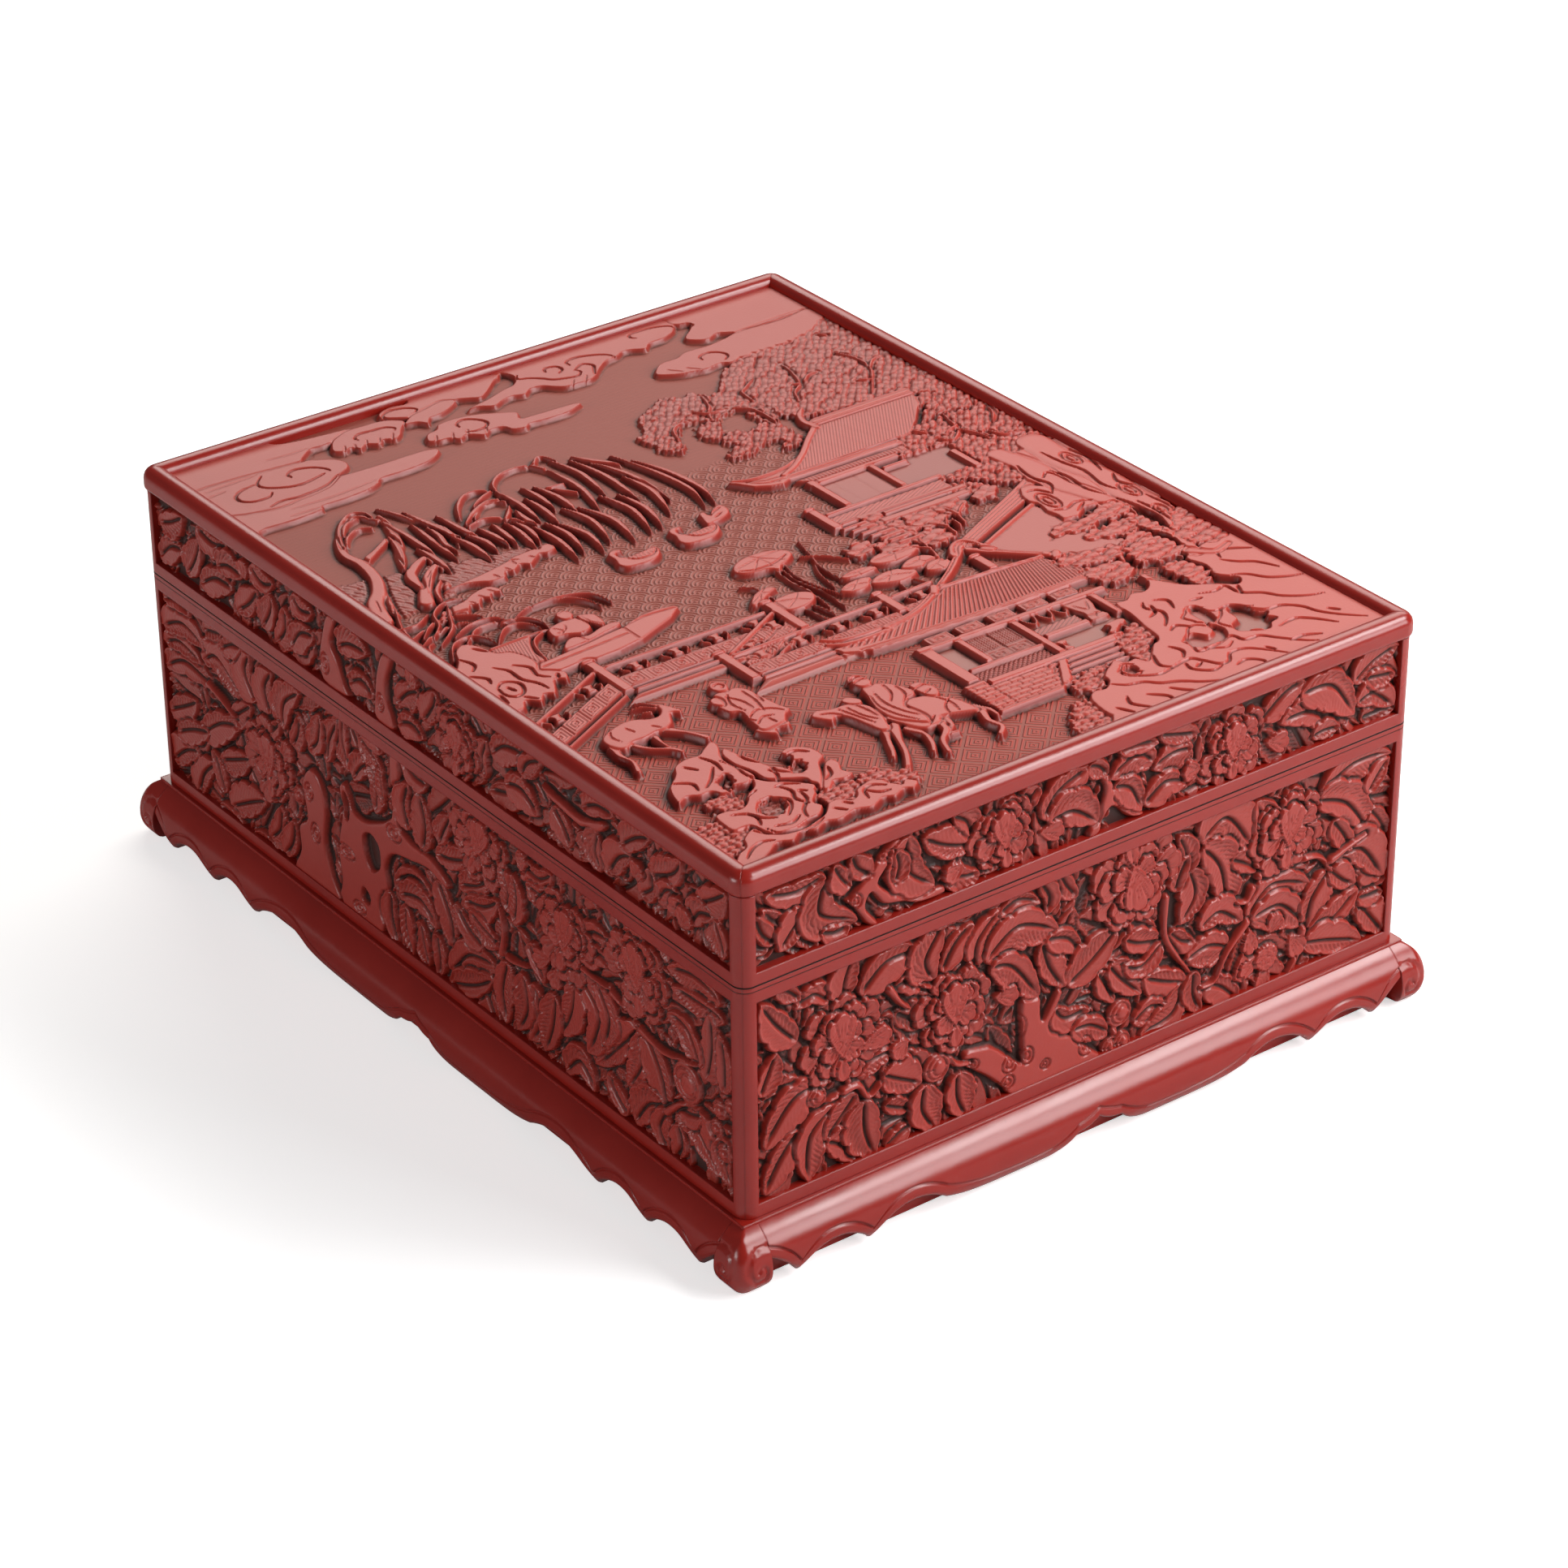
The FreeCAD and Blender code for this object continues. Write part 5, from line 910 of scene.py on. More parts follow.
def carveFigures(work):
    # deer: far legs, near legs, body, neck and head, antlers
    strands(work, "-111,-92 -111.5,-98 -110.5,-103|-120,-92 -117,-97 -111,-102 -109.5,-105",
        (3.0, 2.1, 2.5), 3.5, flat=0.6)
    strands(work, "-106,-89 -102,-94 -99,-99 -97.5,-102.5|-126,-89 -127.5,-95 -126.5,-101 -128.5,-107",
        (4.0, 2.3, 3.0), 3.6, flat=0.6)
    slabs(work, "-127.5,-86 -126,-82 -121,-79 -114,-77 -109,-78 -105.5,-80.3 -102,-80.5 -99.5,-78 -99.3,-74.5"
        " -97.5,-73.5 -95,-77 -93,-82 -94.3,-83.8 -97,-82.3 -98.3,-84 -100.5,-87.5 -104.5,-89.8 -109,-90 -114,-91"
        " -119,-91 -123,-93 -126,-91", 3.65, 1.6, 0.8)
    lines(work, "-121,-80 -123,-84 -122,-88|-106,-88 -108,-85|-116,-81 -114.5,-86", 0.8, 0.65)
    strands(work, "-99.5,-75.5 -102.5,-72.5 -106.5,-71|-98.5,-74 -100.5,-71 -104,-68.5|-102,-77 -105.5,-75.5",
        (1.6, 1.5, 0.8), 3.5)
    # attendant
    slabs(work, "-82.5,-108 -80.5,-113 -77,-115.5 -75.5,-112 -71,-113 -69,-110 -72,-106|-79.5,-80.5 -74.5,-79.8"
        " -70,-80.5 -67,-84 -66,-92 -65,-99 -63.8,-104 -67,-106 -70,-109.5 -76,-110.8 -80.5,-110 -80.3,-103 -79,-96"
        " -82,-94 -83,-89 -80.5,-85|-83.5,-86 -82.5,-82.5 -79.5,-82 -78.5,-85.5 -80.5,-89|-77.8,-76.5 -76,-73.3"
        " -73,-73 -70.7,-75.5 -71,-79 -73.5,-81 -76.5,-80", 3.6, 1.3, 0.7)
    lines(work, "-75,-83 -78,-89 -77,-96|-70,-84 -70,-92 -72,-100|-79,-101 -74,-98 -69,-100 -66,-104|-79,-106"
        " -75,-103 -71,-104|-74,-104 -73,-109|-76,-76 -73.5,-75.5 -72.5,-77.5 -74.5,-78.7|-77,-84 -74,-90 -73.5,-97"
        "|-81,-99 -78,-104|-67,-88 -68.5,-95", 0.8, 0.8)
    # rider on a walking horse: far legs, near legs, tail, body, neck, saddle cloth, robe, head, bundle
    strands(work, "-41,-138 -39,-144 -40.5,-150 -43.5,-155|-27,-139 -28,-145 -33,-148.5 -29,-149.5|-47,-133 -51,-140"
        " -54.5,-147 -56.5,-150|-14.5,-139 -11.5,-144 -11.5,-148.5", (4.2, 2.7, 2.9, 2.4), 3.3, flat=0.5)
    strands(work, "-44,-134 -48,-142 -51.5,-150 -56,-157 -58.5,-159.5|-30,-138 -31.5,-146 -37,-151.5 -40,-158.5",
        (5.0, 3.0, 2.9, 2.8), 3.6, flat=0.5)
    strands(work, "-18,-136 -14.5,-143 -16.5,-150 -15.5,-156 -19,-159.5", (6.2, 3.8, 3.0, 2.8), 3.6, flat=0.5)
    slabs(work, "-48,-124 -44,-128 -40,-138 -36,-142.5 -30,-141.5 -27,-139 -21,-141 -14.5,-143 -14.3,-136 -17,-129"
        " -22,-124 -29,-122 -38,-121|-61,-116 -62.5,-112.5 -59,-109.7 -56,-110.7 -52,-112 -47,-112.3 -42.5,-116"
        " -41,-122 -43,-129 -46,-135 -49.5,-134 -51,-128 -52.5,-121 -55,-117.7 -58,-119.5", 3.6, 1.6, 0.8)
    lines(work, "-52,-114 -50,-121 -47.5,-129|-46,-114 -44.5,-120 -44,-127|-59,-113.5 -55.5,-115 -53,-118|-21,-127"
        " -19,-133 -20,-139|-32,-126 -33,-133 -31,-139|-34,-141 -29,-137", 0.8, 0.8)
    slabs(work, "-24,-116 -21,-114.5 -18,-116 -16,-121 -17.5,-126 -21,-126.5 -23.5,-122|-37.5,-107.5 -33.5,-106"
        " -30,-107.5 -26.5,-111 -23.7,-117 -24.5,-121.5 -29,-122.5 -32.3,-125.5 -31.3,-131 -31,-136 -33,-139.5"
        " -37,-136 -41,-130.5 -42,-124 -40.8,-118 -39,-112.5|-37.8,-104 -37,-101 -34,-99.7 -31,-101 -30.5,-105"
        " -33,-107.5 -36.3,-107", 3.7, 1.3, 0.7)
    lines(work, "-38,-114 -40,-121 -38.5,-129 -35,-136|-35.5,-112 -37,-120 -35.5,-128 -32.5,-134|-27,-113 -27.5,-119"
        " -31,-123|-23.5,-119 -19,-118 -17,-120|-22,-123 -19,-122|-37,-103.3 -33.5,-102.3 -31,-103.3|-30,-110"
        " -31,-116 -35,-121|-17,-130 -22,-134 -24,-139|-49,-115 -48,-122 -45,-128", 0.8, 0.8)
    strands(work, "-37,-99.8 -34,-98.7 -31.5,-100", (1.5, 2.2, 1.4), 3.7)
    slabs(work, "-48,-110 -45.5,-108.3 -43,-109.5 -41,-113 -43,-115.5 -46.5,-113.5", 3.3)


def carveRocks(work):
    tall = 3.65
    # lower left
    patches(work, "-91,-163 -92,-155 -88,-151 -80,-151 -76,-154 -77,-162 -84,-163.5|-76,-156 -71,-151.5 -65,-151.5"
        " -61,-157 -57,-160 -58,-167 -66,-166 -70,-160 -75,-159|-124,-137 -119,-134.5 -114,-137 -113,-145 -119,-147"
        " -123,-143|-139,-151 -131,-147.5 -126,-150 -122,-158 -122,-165 -130,-168 -139,-168|2,-172 8,-163 14,-158"
        " 20,-160 19,-170 18,-178 4,-178|20,-150 25,-145 33,-143 40,-144 33,-151 28,-156 22,-154|50,-141 54,-134"
        " 61,-128 67,-126 68,-138 60,-142 56,-150 51,-152",
        (3.3, 3.2, 3.0, 3.0, 3.4, 3.2, 3.6), 3.1, range(31, 38), relief=1.9, rough=0.3)
    slabs(work, "-131,-132.5 -128,-123 -121.5,-117 -118,-112 -112,-109.8 -107,-110.3 -103.5,-108 -98.5,-105.3"
        " -97.5,-109 -100,-114 -102,-119 -100.5,-126 -100,-133 -105,-135.5 -110,-134.5 -112.5,-137.5 -116,-136"
        " -118,-133 -122,-133 -126,-131|-97.5,-111.5 -96,-117 -93.7,-123 -92.7,-129.5 -88,-134 -83.5,-130 -85.3,-126"
        " -81,-124 -77.5,-125.7 -74.3,-130 -74.3,-136 -78,-138.7 -80.5,-143 -84,-149 -86.5,-152.7 -90.5,-150.5"
        " -88.5,-145 -93,-141.5 -99,-137.5 -99.7,-130 -101.7,-122 -101,-115|-88,-153 -83,-146.5 -80,-142.5"
        " -77,-139.3 -73.7,-139 -73,-143 -75,-147 -73.5,-151 -78,-152.5 -82,-151.5 -86,-154.5|-127.5,-151"
        " -126.5,-146 -122,-145.3 -117,-147 -113,-145 -110,-141 -105,-138 -102,-133.5 -99,-138 -94,-142 -90,-146"
        " -87.7,-149 -90,-152 -90.5,-155 -94.5,-157.5 -93.7,-161 -98,-165.5 -103,-166.5 -109,-168.5 -116,-167.5"
        " -119.5,-164 -121,-158 -127,-157.5|-141,-177 -135,-170 -130,-167.5 -127.5,-163 -121,-159.5 -119,-165"
        " -115,-168.3 -108,-169.3 -103,-168 -98,-166.3 -94,-162.7 -92,-161 -88,-161 -85,-164 -82,-163 -80,-160"
        " -76,-158.3 -72,-157.8 -68,-161 -66,-166 -63,-164 -60,-168 -64,-171 -67,-169.5 -72,-171.5 -76,-170"
        " -82,-172.5 -88,-170.7 -95,-172.5 -100,-171 -105,-173 -110,-171 -115,-174 -120,-172 -125,-175 -132,-178",
        tall, 1.1, 0.5)
    hollows = ("-110,-149.5 -105,-148 -103,-151 -105,-155 -109.5,-157 -112,-153.5|-111,-128 -107.5,-127 -108.5,-131"
               " -112,-134 -112,-130|-87.5,-136 -84,-133.5 -83.3,-136.5 -85.5,-139.5 -88,-139")
    slabs(work, hollows, 0.9, 1.0, 0.0)
    patches(work, hollows, 2.6, 1.5, (38, 38, 38), relief=1.2, rough=0.4)
    lines(work, "-118,-130 -113,-126 -108,-120|-113,-137 -112,-131 -109,-127.5|-104,-118 -102,-124 -102.5,-131"
        " -99,-137 -94,-141 -90,-146 -88,-150 -91,-154 -95,-158 -94,-162 -98,-166 -104,-166.5 -110,-168 -116,-167"
        " -118,-162|-96,-117 -96.5,-122 -94,-127|-90,-131 -89,-136|-117,-151 -115,-156 -111,-159|-103,-149 -101,-152"
        " -103,-156 -107,-160|-100,-143 -96,-143 -92,-146|-114,-146 -110,-142 -106,-141|-122,-161 -119,-166|-78,-142"
        " -80,-147 -84,-149|-113,-155 -109,-158|-95,-149 -93,-151|-80,-167 -78,-162 -74,-161 -70,-164|-88,-164"
        " -86,-167|-92,-130 -93,-134 -90,-138|-114,-153 -112,-150 -109,-147.5 -104,-147|-125,-121 -120,-125"
        " -121,-130|-108,-112 -106,-118 -107,-124|-116,-114 -113,-119|-97,-141 -94,-136 -95,-132|-84,-128 -80,-128"
        " -77,-131|-122,-149 -118,-151 -116,-155 -118,-160|-99,-143 -97,-148 -99,-153 -97,-158|-95,-149 -96,-155"
        " -101,-160 -103,-165|-115,-163 -109,-164.5 -104,-162|-134,-174 -129,-170 -124,-168.5 -120,-170|-110,-171"
        " -104,-170 -99,-168|-93,-165 -90,-169|-78,-162 -75,-166 -71,-167|-69,-161 -67,-165", 1.3, 1.2)
    # left, behind the boat
    slabs(work, "-141,-18 -137,-12 -134,-8 -131,-2 -126,1 -122,-3 -120,-11 -116,-13 -113.5,-18 -112.5,-25 -115,-30"
        " -112,-33 -108.5,-37 -111,-41.5 -114.5,-39.5 -117,-43.5 -120,-47.5 -123.5,-46 -127,-49.5 -131,-46"
        " -134.5,-50 -141,-47", tall, 1.2, 0.6)
    lines(work, "-134,-33 -131,-30.5 -128,-31.5 -126,-35 -128,-40 -132,-41.5 -134.5,-38 -134,-33|-127,-20 -124,-25"
        " -124,-32 -121,-38 -120,-44|-121,-22 -117,-27 -118,-33 -115,-37|-137,-20 -133,-25 -134,-29|-131,-34"
        " -130,-38|-133,-8 -131,-14 -134,-18|-112,-36 -113,-39|-136,-37 -137,-44|-130,-43 -127,-47|-125,-4 -122,-9",
        1.4, 1.1)
    # the great rocks at the right
    blocks(work, "112,2 110,-10 107.5,-19 109,-26 106,-22.5 101,-22.5 97.5,-28 96.5,-33 98.5,-37 97,-43 98,-48"
        " 97.5,-52 104,-53.5 110,-49 118,-51 122,-58 142,-60 142,2", tall, 1.4, 0.6)
    slabs(work, "17.5,-173 18,-164 20,-158.5 24,-156 28,-157 32,-154 33,-150.5 37,-147 40,-145.3 43,-143.5 46,-147"
        " 50,-147 52,-151 55,-149 57,-147 61,-143 64,-142 66,-139 67,-132 68,-127 69,-122 70,-112.5 75,-112.5"
        " 79,-110 84,-111.3 88,-109.3 91,-105.7 94,-109 98,-115 102,-118.5 106,-121 110,-124 114,-127 117,-124"
        " 112,-117 114,-110 112,-102 118,-98 126,-96 142,-92 142,-182 22,-182", tall, 1.2, 0.6)
    lines(work, "31,-156 35,-160 41,-162 45,-166 51,-169 57,-174 63,-177|41,-150 39,-154 43,-158 49,-161 56,-160"
        " 64,-159 67,-163 70,-168 74,-168 78,-164 84,-165 89,-170 94,-177|44,-149 42,-153 46,-156|70,-147 71,-152"
        " 70,-157 78,-157 86,-155 88,-160 94,-161 98,-166 104,-173 108,-176|90,-134 94,-138 101,-138 105,-144"
        " 109,-148 115,-149 120,-154 122,-160 127,-167 133,-173|98,-125 104,-127 109,-126 110,-133 116,-138 120,-144"
        " 127,-149 133,-151|116,-121 121,-124 125,-130 131,-134 137,-136|121,-110 125,-115 130,-119 134,-127"
        "|122,-109 125,-104 130,-106 136,-110|78,-118 76,-122 79,-127 77,-132 73,-136|73,-128 77,-126 79,-121"
        "|86,-134 87,-140 85,-146 88,-150|61,-160 60,-165 65,-170 70,-169|64,-148 66,-153 63,-157|72,-140 76,-138"
        " 80,-142|82,-119 86,-122 84,-128|22,-170 25,-176|30,-166 28,-171 32,-177|45,-170 48,-174 52,-178|74,-172"
        " 79,-171 83,-175 82,-178|56,-149 53,-156 56,-160|104,-160 112,-159 117,-163 122,-170|126,-160 129,-164"
        "|100,-170 106,-170 112,-173|113,-128 110,-134|90,-168 92,-172|36,-169 41,-174 41,-178|62,-165 66,-163"
        "|97,-128 92,-127", 1.5, 1.2)
    slabs(work, "98,-140.5 101.5,-138.5 104.5,-142 105,-146 108,-149 105.5,-151.5 107.5,-154.5 103.5,-155.5"
        " 100.5,-158.5 97,-155.5 91.5,-154 92.5,-149.5 97,-147", 0.5, 1.2, 0.0)
    slabs(work, "73,-147 77,-146.3 80,-150.5 84,-149 86,-145 87.5,-149 85,-154 78,-155 72,-153.5|87,-133 90.5,-131"
        " 91.5,-137 90,-142.5 86.5,-141|41.5,-151 45,-150.3 45.5,-153.5 42.5,-155", 1.6, 1.2, 0.0)
    work.ring(((99, -148), (80, -151), (88, -137), (43.5, -152.5)), (9.5, 8.5, 6, 4))
    # pine trunk with eyes and bark, and its branches
    strands(work, "113,4 116,-12 115,-28 118,-40 121,-56 119,-70 122,-86 118,-100",
        (9, 11, 10, 9, 6, 5, 5, 6), tall, flat=0.5)
    strands(work, "130,4 129,-16 132,-34 130,-52 132,-68 127,-80", (14, 13, 12, 13, 11, 7), 3.6, flat=0.5)
    strands(work, "118,-100 112,-84 105,-78 97,-84 92,-92 84,-97|119,-72 114,-66 110,-64|124,-92 130,-84 134,-74"
        "|118,-98 124,-104 132,-102", (4.5, 3, 2), 3.6)
    for x, y, wide, tallEye in ((103, -37, 3.0, 6.5), (132, -15, 2.6, 5.5), (132, -48, 2.6, 6.0), (131, -66, 2, 3.5)):
        carveEye(work, x, y, wide, tallEye, (1.0, 0.5), 1.2, 17)
    lines(work, "112,-8 110,-18 112,-27 108,-33|119,-18 121,-26 120,-38 123,-46|113,-22 117,-19 119,-24 119,-34"
        "|126,-4 127,-16 129,-26 127,-38 129,-46|136,-8 137,-20 134,-30|124,-50 126,-62 125,-76|128,-56 129,-66"
        " 128,-76|134,-54 135,-66 133,-76|101,-27 105,-28 108,-34|99,-44 104,-46 110,-44 116,-46|122,-52 121,-60"
        " 123,-70|136,-34 133,-40 136,-46|106,-50 112,-46", 1.5, 1.1)
    # pine pads
    patches(work, "86,-60 90,-55 97,-53.5 104,-55 112,-51 121,-52 123,-59 116,-62 108,-60 100,-63 92,-60|94,-68"
        " 100,-64 108,-64.5 113,-62 118,-66 116,-72 108,-74 101,-71|104,-78 110,-74 116,-77 113,-82 106,-82|74,-77"
        " 79,-73.5 86,-74 93,-77 99,-77 101,-83 92,-86 84,-84 77,-81|76,-89 84,-85 92,-88 94,-95 86,-101 79,-97"
        "|101,-82 112,-80 118,-86 116,-96 106,-97 98,-92|122,-84 128,-78 133,-70 141,-68 141,-92 132,-98 125,-95"
        "|101,-103 106,-100 112,-104 113,-111 108,-119 102,-118 103,-111|118,-62 122,-66 123,-76 119,-80 116,-72",
        3.6, 3.4, (41, 42, 49, 43, 44, 45, 46, 47, 48), relief=1.5, stretch=1.35, turn=15, rough=0.4)


def carveLid(work, depth):
    x, y = np.meshgrid(work.xs, work.ys)
    # the ground: overlapping wave scales on the water, plain air above, and land masked for its key diaper
    rise, reach, unset = wave["rise"], wave["reach"], 9.0      # unset lies outside every fan of ripples
    row = np.floor(y / rise)
    ripple = np.full(x.shape, unset)
    for k in (0, 1, 2):
        up = y - (row - k) * rise
        across = (x / (2 * rise) + 0.5 * ((row - k) % 2)) % 1 * (2 * rise) - rise
        radius = np.hypot(across, up)
        ripple = np.where((ripple == unset) & (radius < reach), radius, ripple)
    wet = np.clip((66 + 0.06 * x - y) / 4, 0, 1) * np.clip((y + 66 - 0.02 * x) / 3, 0, 1)
    work.top += wet * (wave["depth"] * np.cos(np.clip(ripple, 0, reach) * 2 * math.pi / wave["line"]) + 0.12)
    work.top += np.clip((y - 60) / 8, 0, 1) * 0.06 * np.cos(y * 2 * math.pi / 2.1 + 1.5 * np.sin(x / 9))
    land = np.clip((-64 - y) / 3, 0, 1)
    fold = lambda values, scale: np.abs((values / scale + 1) % 2 - 1) * scale
    nest = np.maximum(*[fold(slant * math.sqrt(0.5), lozenge["side"] / 2) for slant in (x - y, x + y)])
    work.top += land * 0.2 * (fold(nest, lozenge["line"] / 2) / lozenge["line"] * 2 - 0.5)
    for carve in (carveClouds, carveTrees, carveWillows, carveShore, carveBoat, carveBridge, carveShrubs,
                  carvePavilions, carveFigures, carveRocks):
        carve(work)
    clear = np.clip((0.5 - work.top) / 0.15, 0, 1) * np.clip((0.9 - blurred(work.top, 2)) / 0.4, 0, 1)
    work.masks["land"] = land * clear      # the diaper stops short of the cut flanks
    keep = 1 - (1 - scenery["skyShare"]) * np.clip((y - 40) / 70, 0, 1)
    work.top = work.ground + (work.top - work.ground) * keep * depth / scenery["high"]


# Meshes from height maps

def blurred(values, reach):
    # box blur by running sums, twice
    for axis in (0, 1, 0, 1):
        padded = np.concatenate([np.repeat(np.take(values, [0], axis), reach + 1, axis), values,
                                 np.repeat(np.take(values, [-1], axis), reach, axis)], axis)
        sums = np.cumsum(padded, axis)
        size = values.shape[axis]
        high = np.take(sums, np.arange(2 * reach + 1, 2 * reach + 1 + size), axis)
        low = np.take(sums, np.arange(size), axis)
        values = (high - low) / (2 * reach + 1)
    return values


def addPiece(name, mesh, material, body, replaced):
    # a visible piece on its body, for the node it stands for
    piece = bpy.data.objects.new(name, mesh)
    bpy.context.scene.collection.objects.link(piece)
    paint(piece, material)
    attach(piece, body)
    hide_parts(replaced)


def reliefTiles(name, work, depth, origin, axes, columns, rows, body, material, replaced):
    # closed blocks whose faces are the carving; u, v and h run along the three axes from the origin
    axisU, axisV, axisH = (np.array(a, float) for a in axes)
    origin = np.array(origin, float)
    top = np.clip(work.top, 0.05, depth + 0.3)
    slope = np.hypot(*np.gradient(top, work.pitch))
    # how steep the cut flanks are; the lid's material paints shade on them
    steep, flank = np.clip(slope / 1.5 - 0.5, 0, 1), np.clip(slope / 1.2 - 1.1, 0, 1)
    top += 0.4 * steep * (blurred(top, 1) - top)      # evens out the steps of the grid on the cut flanks
    slopeV, slopeU = np.gradient(top, work.pitch)
    reach = max(2, int(round(1.3 / work.pitch)))
    smooth = (top + blurred(top, 1)) / 2
    # how far the surface lies below its surroundings, which the material paints as dust together with painted shade
    cavity = np.clip((blurred(top, reach) - smooth) / depth * 1.7, 0, 1)
    layers = {"height": np.clip(smooth / depth, 0, 1), "cavity": cavity, "flank": flank, **work.masks}
    edgesI = np.linspace(0, top.shape[1] - 1, columns + 1).round().astype(int)
    edgesJ = np.linspace(0, top.shape[0] - 1, rows + 1).round().astype(int)
    for c in range(columns):
        for r in range(rows):
            area = (slice(edgesJ[r], edgesJ[r + 1] + 1), slice(edgesI[c], edgesI[c + 1] + 1))
            u, v = np.meshgrid(work.xs[area[1]], work.ys[area[0]])
            h = top[area]
            high, wide = h.shape
            index = np.arange(high * wide).reshape(high, wide)
            quads = np.stack([index[:-1, :-1], index[:-1, 1:], index[1:, 1:], index[1:, :-1]], -1).reshape(-1, 4)
            ring = np.concatenate([index[0, :-1], index[:-1, -1], index[-1, :0:-1], index[:0:-1, 0]])
            count = high * wide
            ringU, ringV, ringH = u.ravel()[ring], v.ravel()[ring], h.ravel()[ring]
            allU = np.concatenate([u.ravel(), ringU, ringU, [u.mean()]])
            allV = np.concatenate([v.ravel(), ringV, ringV, [v.mean()]])
            allH = np.concatenate([h.ravel(), ringH, np.zeros(len(ring) + 1)])
            places = (origin + allU[:, None] * axisU + allV[:, None] * axisV + allH[:, None] * axisH) * mm
            upper = count + np.arange(len(ring))
            lower = upper + len(ring)
            skirt = np.stack([lower, np.roll(lower, -1), np.roll(upper, -1), upper], -1)
            hub = len(allU) - 1
            fan = np.stack([np.roll(lower, -1), lower, np.full(len(ring), hub)], -1)
            mesh = bpy.data.meshes.new(name)
            mesh.vertices.add(len(places))
            mesh.vertices.foreach_set("co", places.astype(np.float32).ravel())
            loops = np.concatenate([quads.ravel(), skirt.ravel(), fan.ravel()]).astype(np.int32)
            sizes = np.concatenate([np.full(len(quads) + len(skirt), 4), np.full(len(fan), 3)])
            mesh.loops.add(len(loops))
            mesh.loops.foreach_set("vertex_index", loops)
            mesh.polygons.add(len(sizes))
            starts = np.concatenate([[0], np.cumsum(sizes)[:-1]])
            mesh.polygons.foreach_set("loop_start", starts.astype(np.int32))
            mesh.update(calc_edges=True)
            mesh.polygons.foreach_set("use_smooth", np.ones(len(sizes), bool))
            unit = ((allU - u.min()) / np.ptp(u), (allV - v.min()) / np.ptp(v))
            for mapName, pair in (("OFBake", unit), ("FieldMm", (allU, allV))):
                flat = np.stack(pair, -1)[loops].astype(np.float32)
                mesh.uv_layers.new(name=mapName).uv.foreach_set("vector", flat.ravel())
            for key, values in layers.items():
                attribute = mesh.attributes.new(key, "FLOAT", "POINT")
                whole = np.concatenate([values[area].ravel(), values[area].ravel()[ring], np.zeros(len(ring) + 1)])
                attribute.data.foreach_set("value", whole.astype(np.float32))
            normals = -slopeU[area].ravel()[:, None] * axisU - slopeV[area].ravel()[:, None] * axisV + axisH
            normals /= np.linalg.norm(normals, axis=1, keepdims=True)
            mesh.validate()
            # a normal of zeros leaves the mesh's own
            rim = np.concatenate([normals, np.zeros((2 * len(ring), 3)), -axisH[None]])
            mesh.normals_split_custom_set_from_vertices(rim.tolist())
            addPiece("%s_%d_%d" % (name, c, r), mesh, material, body, replaced)


# Materials

lacquer = {
    "polished": "#A2251C",     # cinnabar lacquer, rubbed smooth
    "polishedDark": "#8C1B13",
    "sides": ("#3A140E", "#8F2A1F", "#A83329"),     # the darker ground of the relief, flanks, and tops paler for wear and a painted sheen
    "lid": ("#964436", "#96352A", "#B83A2D"),
    "lidFlankShade": "#84170F",     # painted shade on the lid's steep cuts, a saturated deep red
    # dusty brown that also stands for painted shade in the cuts
    "dustAndShade": "#35130B",
    # dark wear, and the painted shade in the joint under the lid
    "seamShadeAndDirt": "#2E1009",
    "black": "#15100E",
    "blackWorn": "#2A1B16",
    "refraction": 1.52,
    "roughPolished": 0.19,
    "roughSides": 0.33,
    "roughLid": 0.4,
    "roughGround": 0.6,
}

cypress = {
    "shades": ("#B08A5A", "#7E5A36"),
    "rough": 0.7,
}


def makePolishedLacquer():
    # cinnabar lacquer, many coats rubbed smooth by hand: deep red with a soft bright sheen and faint
    # long ripples left by the rubbing stone
    material, tree, shader, place = newMaterial("rubbedCinnabarLacquer")
    cloudy = noise(tree, place, 30, 4.0)
    # random patches of wear; the joint under the lid and the incised line below it take the same dark colour as
    # painted shade in the gap and the groove
    wearAndSeamShade = remap(tree, noise(tree, place, 3, 6.0, Roughness=0.7), fromMin=0.62, fromMax=0.8, toMax=0.35)
    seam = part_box("front_lacquer")[1][2]
    level = add(tree, "ShaderNodeSeparateXYZ", None, {0: place}).outputs[2]
    for below, width in ((0, 0.3), (1.9, 0.16)):      # the joint and the incised line under it, in mm
        wearAndSeamShade = maths(tree, "MAXIMUM", wearAndSeamShade, maths(tree, "COMPARE", level, seam - below * mm, width * mm))
    rounded = add(tree, "ShaderNodeBevel", {"samples": 4, "Radius": 0.8 * mm})     # the rubbed-down edges of the coat
    rough = remap(tree, cloudy, toMin=lacquer["roughPolished"] - 0.05, toMax=lacquer["roughPolished"] + 0.14)
    feed(tree, shader, {
        "Base Color": mixed(tree, wearAndSeamShade, mixed(tree, cloudy, lacquer["polishedDark"], lacquer["polished"]),
                            lacquer["seamShadeAndDirt"]),
        "Roughness": maths(tree, "MAXIMUM", rough, wearAndSeamShade),
        "Normal": bumped(tree, noise(tree, place, 9, 2.0), 0.25, 0.4, rounded.outputs[0]),
    })
    shader.inputs["IOR"].default_value = lacquer["refraction"]
    return material


